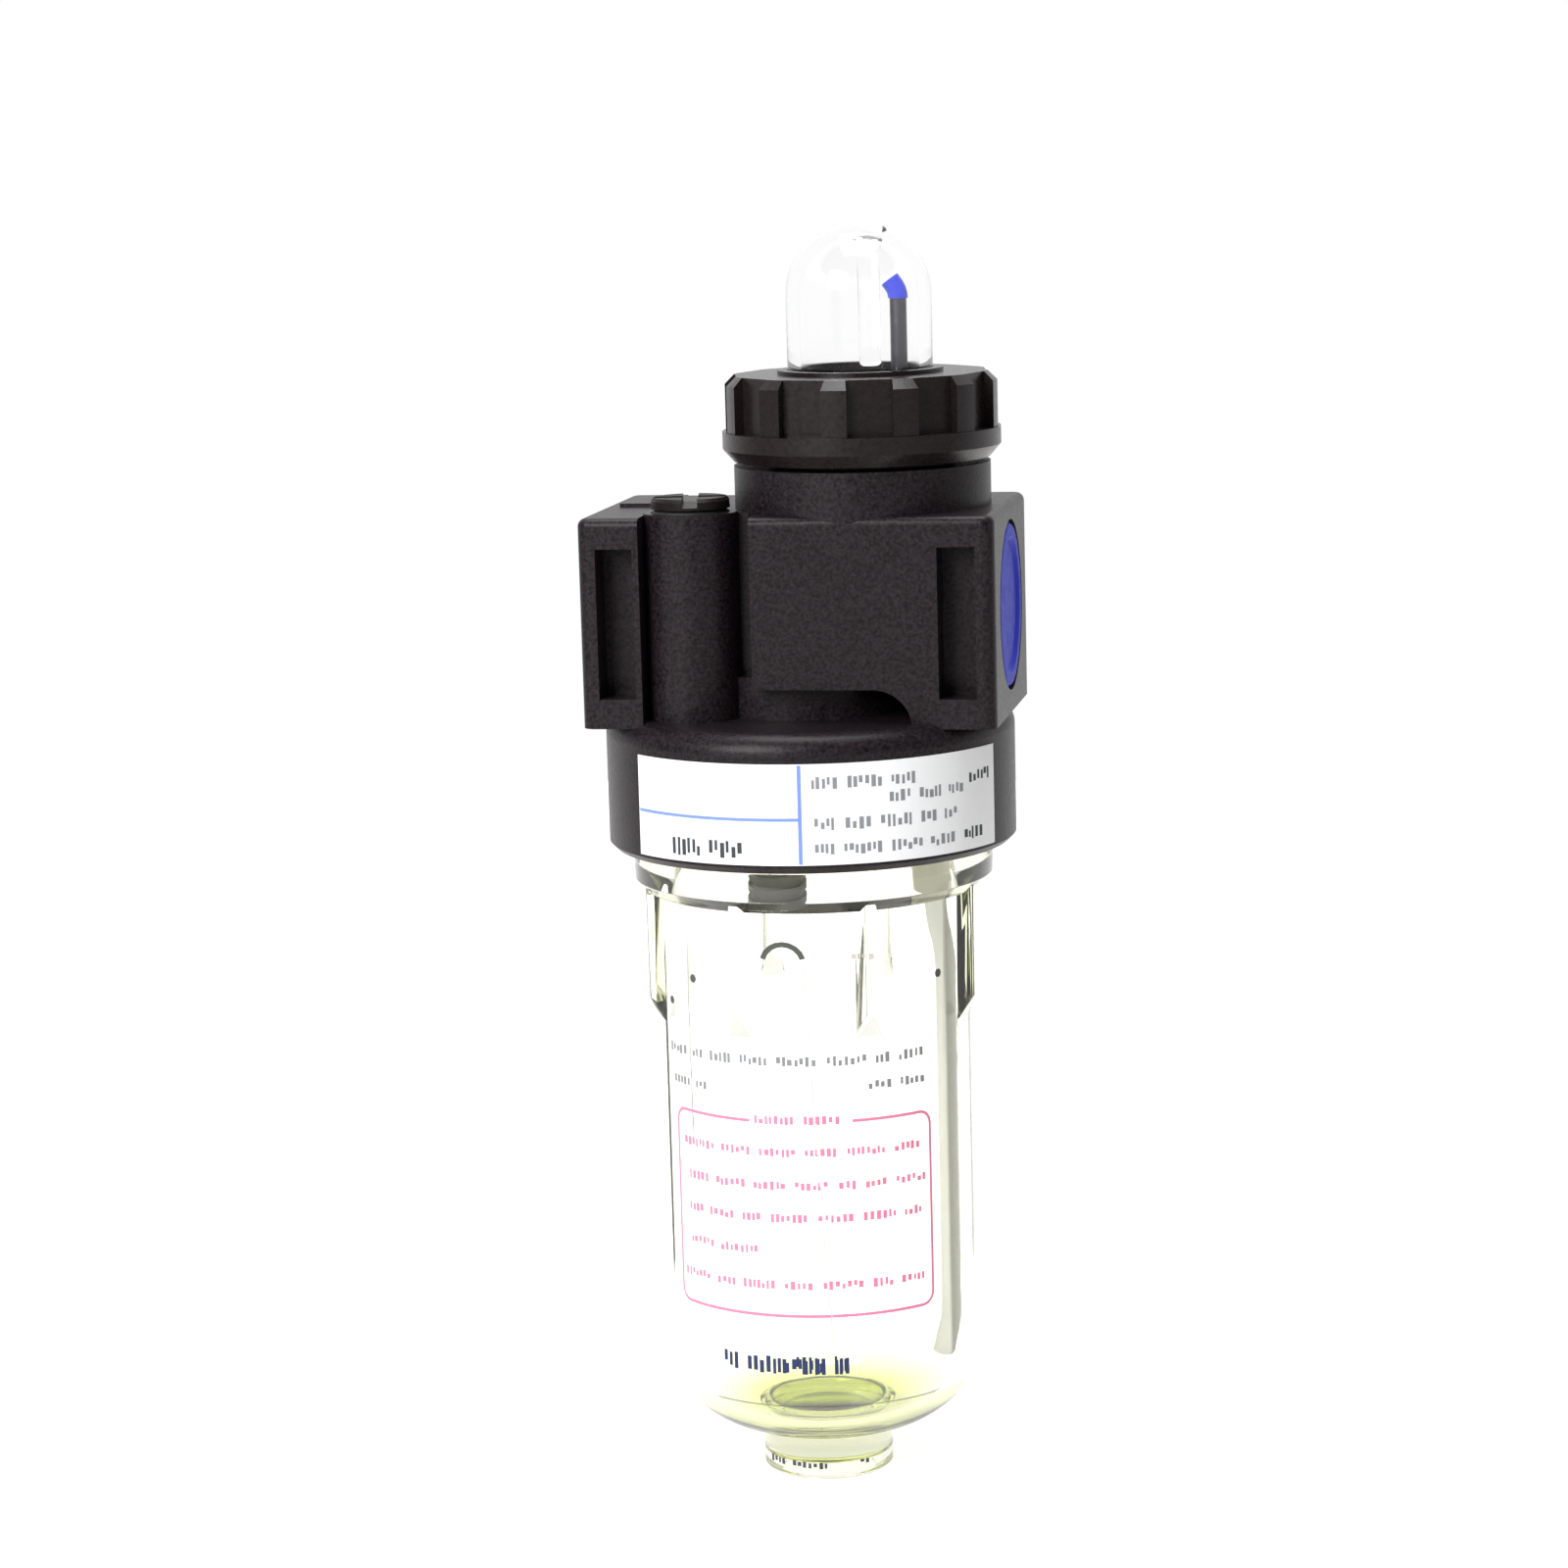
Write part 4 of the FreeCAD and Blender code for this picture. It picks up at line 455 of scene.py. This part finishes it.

# %% [markdown]
# ## Prints on the label and on the bowl
#
# The label and the bowl carry print. Ink has almost no thickness, but on clear plastic it
# needs a surface of its own, so each mark is a thin plate wrapped round the cylinder. A
# mark starts flat, in millimetres along the surface, and its points are then moved round
# the axis. Rows of uneven ticks stand in for lines of small print. A faint line down the
# bowl's wall is a plain mark where the bowl has one. An arch and three dots near the bowl's
# top and short dashes on
# its foot are painted shade: dark marks where dark lines show through the clear plastic. How
# the real bowl makes those lines isn't known.

# %% Wrapping flat marks round a cylinder
INK = 0.02
BAR_STEP = 0.6
GROUP_WIDTH, GROUP_GAP = (1.8, 4.4), 0.8
TICK_WIDTH, TICK_REACH, TICK_GAP = (0.24, 0.46), (0.5, 1.0), (0.14, 0.3)
TICK_ROOM = 0.3
CORNER_STEPS = 5
LONG_EDGE, LEVEL = 5, 0.01
LONG_CUTS = 60


def wrapped(bm, radius):
    """Bends flat marks round the upright axis; x is millimetres to the right of the front."""
    for vert in bm.verts:
        angle = vert.co.x / radius
        vert.co = Vector((radius * math.sin(angle), -radius * math.cos(angle), vert.co.z)) * MM
    bmesh.ops.recalc_face_normals(bm, faces=bm.faces)
    for face in bm.faces:
        if face.normal.dot(face.calc_center_median() * Vector((1, 1, 0))) < 0:
            face.normal_flip()
    bmesh.ops.solidify(bm, geom=list(bm.faces), thickness=INK * MM)
    bmesh.ops.recalc_face_normals(bm, faces=bm.faces)
    return bm


def rectangle(bm, left, right, low, high, count=1):
    """A flat rectangle cut across into count faces; gives back its points."""
    new = bmesh.ops.create_grid(bm, x_segments=count, y_segments=1, size=0.5)["verts"]
    for vert in new:
        vert.co = Vector((left + (vert.co.x + 0.5) * (right - left), 0,
                          low + (vert.co.y + 0.5) * (high - low)))
    return new


def bar(bm, left, right, low, high):
    """A flat bar, cut across often enough to bend smoothly."""
    rectangle(bm, left, right, low, high, max(1, round((right - left) / BAR_STEP)))


def small_print(bm, rng, left, right, height, tall):
    """Groups of uneven upright ticks, like a line of small print seen from far off."""
    x = left
    while x < right - GROUP_GAP:
        group_end = min(x + rng.uniform(*GROUP_WIDTH), right)
        while x < group_end - TICK_ROOM:
            width, reach = rng.uniform(*TICK_WIDTH), tall * rng.uniform(*TICK_REACH)
            low = height - tall / 2 + rng.uniform(0, tall - reach)
            bar(bm, x, x + width, low, low + reach)
            x += width + rng.uniform(*TICK_GAP)
        x += GROUP_GAP


def frame_line(bm, left, right, low, high, corner, line):
    """A rounded rectangle drawn as one closed line."""
    ends = rectangle(bm, left, right, low, high)
    bmesh.ops.bevel(bm, geom=ends, offset=corner, offset_type="OFFSET",
                    affect="VERTICES", segments=CORNER_STEPS, profile=0.5, material=-1)
    bm.normal_update()
    sheet = [face for face in bm.faces if len(face.verts) > 4]
    bmesh.ops.inset_region(bm, faces=sheet, thickness=line, use_boundary=True,
                           use_even_offset=True)
    bmesh.ops.delete(bm, geom=sheet, context="FACES")
    long_edges = [edge for edge in bm.edges if edge.calc_length() > LONG_EDGE and
                  abs(edge.verts[0].co.z - edge.verts[1].co.z) < LEVEL]
    bmesh.ops.subdivide_edges(bm, edges=long_edges, cuts=LONG_CUTS, use_grid_fill=True)


def printed_rows(name, rows, rng, radius, body, ink):
    """A piece of small print; a row is its left, right, height and size in millimetres."""
    bm = bmesh.new()
    for row in rows:
        small_print(bm, rng, *row)
    piece(name, wrapped(bm, radius), body, ink)


# %% Marks on the label
LABEL_R = 20.14
DIVIDER, DIVIDER_HALF = 2.35, 0.18
LABEL_ROWS = ((3.5, 13.8, 72.7, 1.2), (11.0, 20.0, 71.1, 1.1), (3.7, 20.4, 68.8, 1.2),
              (3.7, 19.2, 66.4, 1.1))
LABEL_DARK_ROWS = ((-11.0, -2.3, 66.3, 1.8), (19.6, 23.8, 66.5, 1.2), (20.4, 23.6, 71.9, 1.2))
label_rng = random.Random(4)
lines = bmesh.new()
bar(lines, -15.7, DIVIDER, 69.1, 69.4)
bar(lines, DIVIDER - DIVIDER_HALF, DIVIDER + DIVIDER_HALF, 65.0, 74.4)
piece("label_lines", wrapped(lines, LABEL_R), "housing", ink_blue)
printed_rows("label_rows", LABEL_ROWS, label_rng, LABEL_R, "housing", ink_grey)
printed_rows("label_dark_rows", LABEL_DARK_ROWS, label_rng, LABEL_R, "housing",
             ink_dark)

# %% Marks on the bowl
BOWL_R = 16.01
GREY_ROWS = ((-15.0, 14.6, 45.1, 1.0), (-14.4, -9.2, 42.0, 0.8), (7.6, 14.2, 42.5, 0.9))
NAVY_ROWS = ((-7.9, 5.3, 14.9, 1.9), (-1.2, 5.3, 14.8, 1.7))
FRAME_LEFT, FRAME_RIGHT, FRAME_LOW, FRAME_HIGH = -14.1, 14.5, 19.7, 39.3
FRAME_CORNER, FRAME_LINE = 1.4, 0.3
HEADING = (-4.2, 5.7)
HEADING_INDENT = 0.5
ROSE_TALL = 0.9
ROSE_ROWS = ((HEADING[0] + HEADING_INDENT, HEADING[1], FRAME_HIGH), (-12.8, 13.4, 36.1),
             (-12.1, 13.6, 32.8), (-12.2, 13.5, 29.6), (-12.1, -3.1, 26.3),
             (-13.2, 13.8, 22.9))
bowl_rng = random.Random(11)
printed_rows("bowl_grey_rows", GREY_ROWS, bowl_rng, BOWL_R, "bowl", ink_grey)

rose = bmesh.new()
frame_line(rose, FRAME_LEFT, FRAME_RIGHT, FRAME_LOW, FRAME_HIGH, FRAME_CORNER, FRAME_LINE)
gap = [face for face in rose.faces if face.calc_center_median().z > FRAME_HIGH - FRAME_LINE
       and HEADING[0] < face.calc_center_median().x < HEADING[1]]
bmesh.ops.delete(rose, geom=gap, context="FACES")
for row in ROSE_ROWS:
    small_print(rose, bowl_rng, *row, ROSE_TALL)
piece("bowl_rose_frame", wrapped(rose, BOWL_R), "bowl", ink_rose)

printed_rows("bowl_navy_row", NAVY_ROWS, bowl_rng, BOWL_R, "bowl", ink_navy)

# %% Arch, dots, line and dashes
ARCH_X, ARCH_Z, ARCH_SQUASH = -0.45, 54.6, 0.95
ARCH_PARTS, ARCH_START, ARCH_SWEEP = 8, 15, 150
NEAR, FAR = 1.75, 2.3
DOTS = ((-10.67, 52.4), (-14.5, 49.7), (15.9, 52.4))
DOT_R, DOT_SIDES = 0.42, 12
# The arch and the dots are painted shade: dark lines that the far side of the bowl shows
# through the wall.
shade_marks = bmesh.new()
for step in range(ARCH_PARTS):
    turn, onward = (math.radians(ARCH_START + ARCH_SWEEP * part / ARCH_PARTS)
                    for part in (step, step + 1))
    shade_marks.faces.new([shade_marks.verts.new((ARCH_X - r * math.cos(a), 0,
                                          ARCH_Z + ARCH_SQUASH * r * math.sin(a)))
                       for r, a in ((NEAR, turn), (NEAR, onward), (FAR, onward), (FAR, turn))])
for along, height in DOTS:
    dot = bmesh.ops.create_circle(shade_marks, cap_ends=True, radius=DOT_R, segments=DOT_SIDES)
    for vert in dot["verts"]:
        vert.co = Vector((along + vert.co.x, 0, height + vert.co.y))
bmesh.ops.remove_doubles(shade_marks, verts=shade_marks.verts, dist=1e-4)
piece("painted_shade_marks", wrapped(shade_marks, BOWL_R), "bowl", painted_shade_grey)

LINE_STEPS, LINE_TOP, LINE_DROP = 12, 54.5, 3.1
LINE_X, LINE_LEAN, LINE_HALF = 1.6, 0.165, 0.06
faint = bmesh.new()
small_print(faint, bowl_rng, 6.2, 9.8, 55.2, 0.6)
for step in range(LINE_STEPS):
    along, height = LINE_X + LINE_LEAN * step, LINE_TOP - LINE_DROP * step
    bar(faint, along - LINE_HALF, along + LINE_HALF, height - LINE_DROP, height)
piece("parting_line", wrapped(faint, BOWL_R), "bowl", ink_faint)

# The dashes on the foot are painted shade along the foot's lower edge.
FOOT_R = 6.51
FOOT_ROWS = ((-5.9, 2.6, 1.5, 0.7), (4.4, 5.6, 1.6, 0.5))
printed_rows("foot_painted_shade", FOOT_ROWS, bowl_rng, FOOT_R, "bowl", painted_shade_grey)

# %% [markdown]
# ## Floor, surroundings and light
#
# The object stands in a white studio. The white that the camera sees comes from the
# colour of the floor and of the surroundings, and not from strong lamps. In the
# surroundings, camera rays and rays that come through clear plastic meet full white.
# Gloss rays meet a fade, from dim on the camera's side to full white behind the object,
# so black paint keeps its depth. All other rays, which only give light, meet a dimmer
# white. On the floor, gloss rays see what the camera sees.

# %% A switch between seen and lighting rays
def seen_ray_mix(tree, seen, lighting, output, gloss_too=True):
    """Puts one shader where the white is seen and another where it only gives light."""
    nodes, links = tree.nodes, tree.links
    path = nodes.new("ShaderNodeLightPath")
    either = path.outputs["Is Camera Ray"]
    for other in ("Is Transmission Ray", "Is Glossy Ray")[:1 + gloss_too]:
        both = nodes.new("ShaderNodeMath")
        both.operation = "MAXIMUM"
        links.new(either, both.inputs[0])
        links.new(path.outputs[other], both.inputs[1])
        either = both.outputs[0]
    mix = nodes.new("ShaderNodeMixShader")
    links.new(either, mix.inputs["Fac"])
    links.new(lighting, mix.inputs[1])
    links.new(seen, mix.inputs[2])
    links.new(mix.outputs["Shader"], output.inputs["Surface"])


# %% World
SEEN_WHITE, LIGHT_WHITE, GLOSS_FRONT = 1.0, 0.35, 0.22
FADE_START, FADE_END = -0.2, 0.8
world = bpy.data.worlds.new("white studio")
bpy.context.scene.world = world
world.use_nodes = True
nodes, links = world.node_tree.nodes, world.node_tree.links
nodes.clear()
world_output = nodes.new("ShaderNodeOutputWorld")
shades = []
for strength in (SEEN_WHITE, LIGHT_WHITE, SEEN_WHITE):
    shade = nodes.new("ShaderNodeBackground")
    shade.inputs["Color"].default_value = WHITE
    shade.inputs["Strength"].default_value = strength
    shades.append(shade)
seen, lighting, gloss = shades
compass = nodes.new("ShaderNodeTexCoord")
ways = nodes.new("ShaderNodeSeparateXYZ")
links.new(compass.outputs["Generated"], ways.inputs[0])
fade = nodes.new("ShaderNodeMapRange")
fade.interpolation_type = "SMOOTHSTEP"
for name, value in (("From Min", FADE_START), ("From Max", FADE_END),
                    ("To Min", GLOSS_FRONT), ("To Max", SEEN_WHITE)):
    fade.inputs[name].default_value = value
links.new(ways.outputs["Y"], fade.inputs["Value"])
links.new(fade.outputs["Result"], gloss.inputs["Strength"])
gloss_path = nodes.new("ShaderNodeLightPath")
gloss_mix = nodes.new("ShaderNodeMixShader")
links.new(gloss_path.outputs["Is Glossy Ray"], gloss_mix.inputs["Fac"])
links.new(lighting.outputs[0], gloss_mix.inputs[1])
links.new(gloss.outputs[0], gloss_mix.inputs[2])
seen_ray_mix(world.node_tree, seen.outputs[0], gloss_mix.outputs[0], world_output,
             gloss_too=False)

# %% Floor
FLOOR_HALF, FLOOR_CELLS = 0.42, 8
FLOOR_COLOUR = (0.60, 0.59, 0.57, 1)
FLOOR_GLOW = 0.84
floor_bm = bmesh.new()
bmesh.ops.create_grid(floor_bm, x_segments=FLOOR_CELLS, y_segments=FLOOR_CELLS,
                      size=FLOOR_HALF)
floor_mesh = bpy.data.meshes.new("floor")
floor_bm.to_mesh(floor_mesh)
floor_bm.free()
floor = bpy.data.objects.new("floor", floor_mesh)
bpy.context.scene.collection.objects.link(floor)
floor_paint = bpy.data.materials.new("pale floor")
floor_paint.use_nodes = True
floor_tree = floor_paint.node_tree
floor_tree.nodes.clear()
floor_output = floor_tree.nodes.new("ShaderNodeOutputMaterial")
matt = floor_tree.nodes.new("ShaderNodeBsdfDiffuse")
matt.inputs["Color"].default_value = FLOOR_COLOUR
glow = floor_tree.nodes.new("ShaderNodeEmission")
glow.inputs["Strength"].default_value = FLOOR_GLOW
both = floor_tree.nodes.new("ShaderNodeAddShader")
floor_tree.links.new(matt.outputs[0], both.inputs[0])
floor_tree.links.new(glow.outputs[0], both.inputs[1])
seen_ray_mix(floor_tree, both.outputs[0], matt.outputs[0], floor_output)
floor_mesh.materials.append(floor_paint)

# %% Lamps
LAMPS = (
    ("key_softbox", (-0.24, -0.48, 0.35), 0.30, 4.1),
    ("top_softbox", (0.00, 0.05, 0.62), 0.35, 3.2),
)
TARGET = Vector((0, 0, 0.062))
for name, place, size, power in LAMPS:
    lamp = bpy.data.lights.new(name, "AREA")
    lamp.energy, lamp.size = power, size
    lamp_obj = bpy.data.objects.new(name, lamp)
    lamp_obj.location = place
    lamp_obj.rotation_euler = (TARGET - Vector(place)).to_track_quat("-Z", "Y").to_euler()
    bpy.context.scene.collection.objects.link(lamp_obj)

# %% [markdown]
# ## Camera
#
# A long lens from a little above and a little to the right. Direction, distance, lens and
# roll were fitted to the edges of the object in the picture.

# %% Set the camera
AZIMUTH, ELEVATION, ROLL = (math.radians(a) for a in (10.2, 10.37, 1.48))
DISTANCE = 0.40006
FOCAL_PIXELS, IMAGE_PIXELS = 4141.06, 1600
CENTRE_PIXELS = (830.56, 874.95)
SENSOR_WIDTH = 36.0
camera_data = bpy.data.cameras.new("camera")
camera_data.sensor_width = SENSOR_WIDTH
camera_data.lens = FOCAL_PIXELS / IMAGE_PIXELS * SENSOR_WIDTH
camera_data.shift_x = 0.5 - CENTRE_PIXELS[0] / IMAGE_PIXELS
camera_data.shift_y = CENTRE_PIXELS[1] / IMAGE_PIXELS - 0.5
camera_data.clip_start = 0.01
camera = bpy.data.objects.new("camera", camera_data)
bpy.context.scene.collection.objects.link(camera)
towards = Vector((math.sin(AZIMUTH) * math.cos(ELEVATION),
                  -math.cos(AZIMUTH) * math.cos(ELEVATION), math.sin(ELEVATION)))
camera.location = TARGET + towards * DISTANCE
aim = (-towards).to_track_quat("-Z", "Y").to_matrix()
camera.rotation_euler = (aim @ Matrix.Rotation(-ROLL, 3, "Z")).to_euler()
bpy.context.scene.camera = camera
bpy.context.scene.view_settings.view_transform = "Standard"
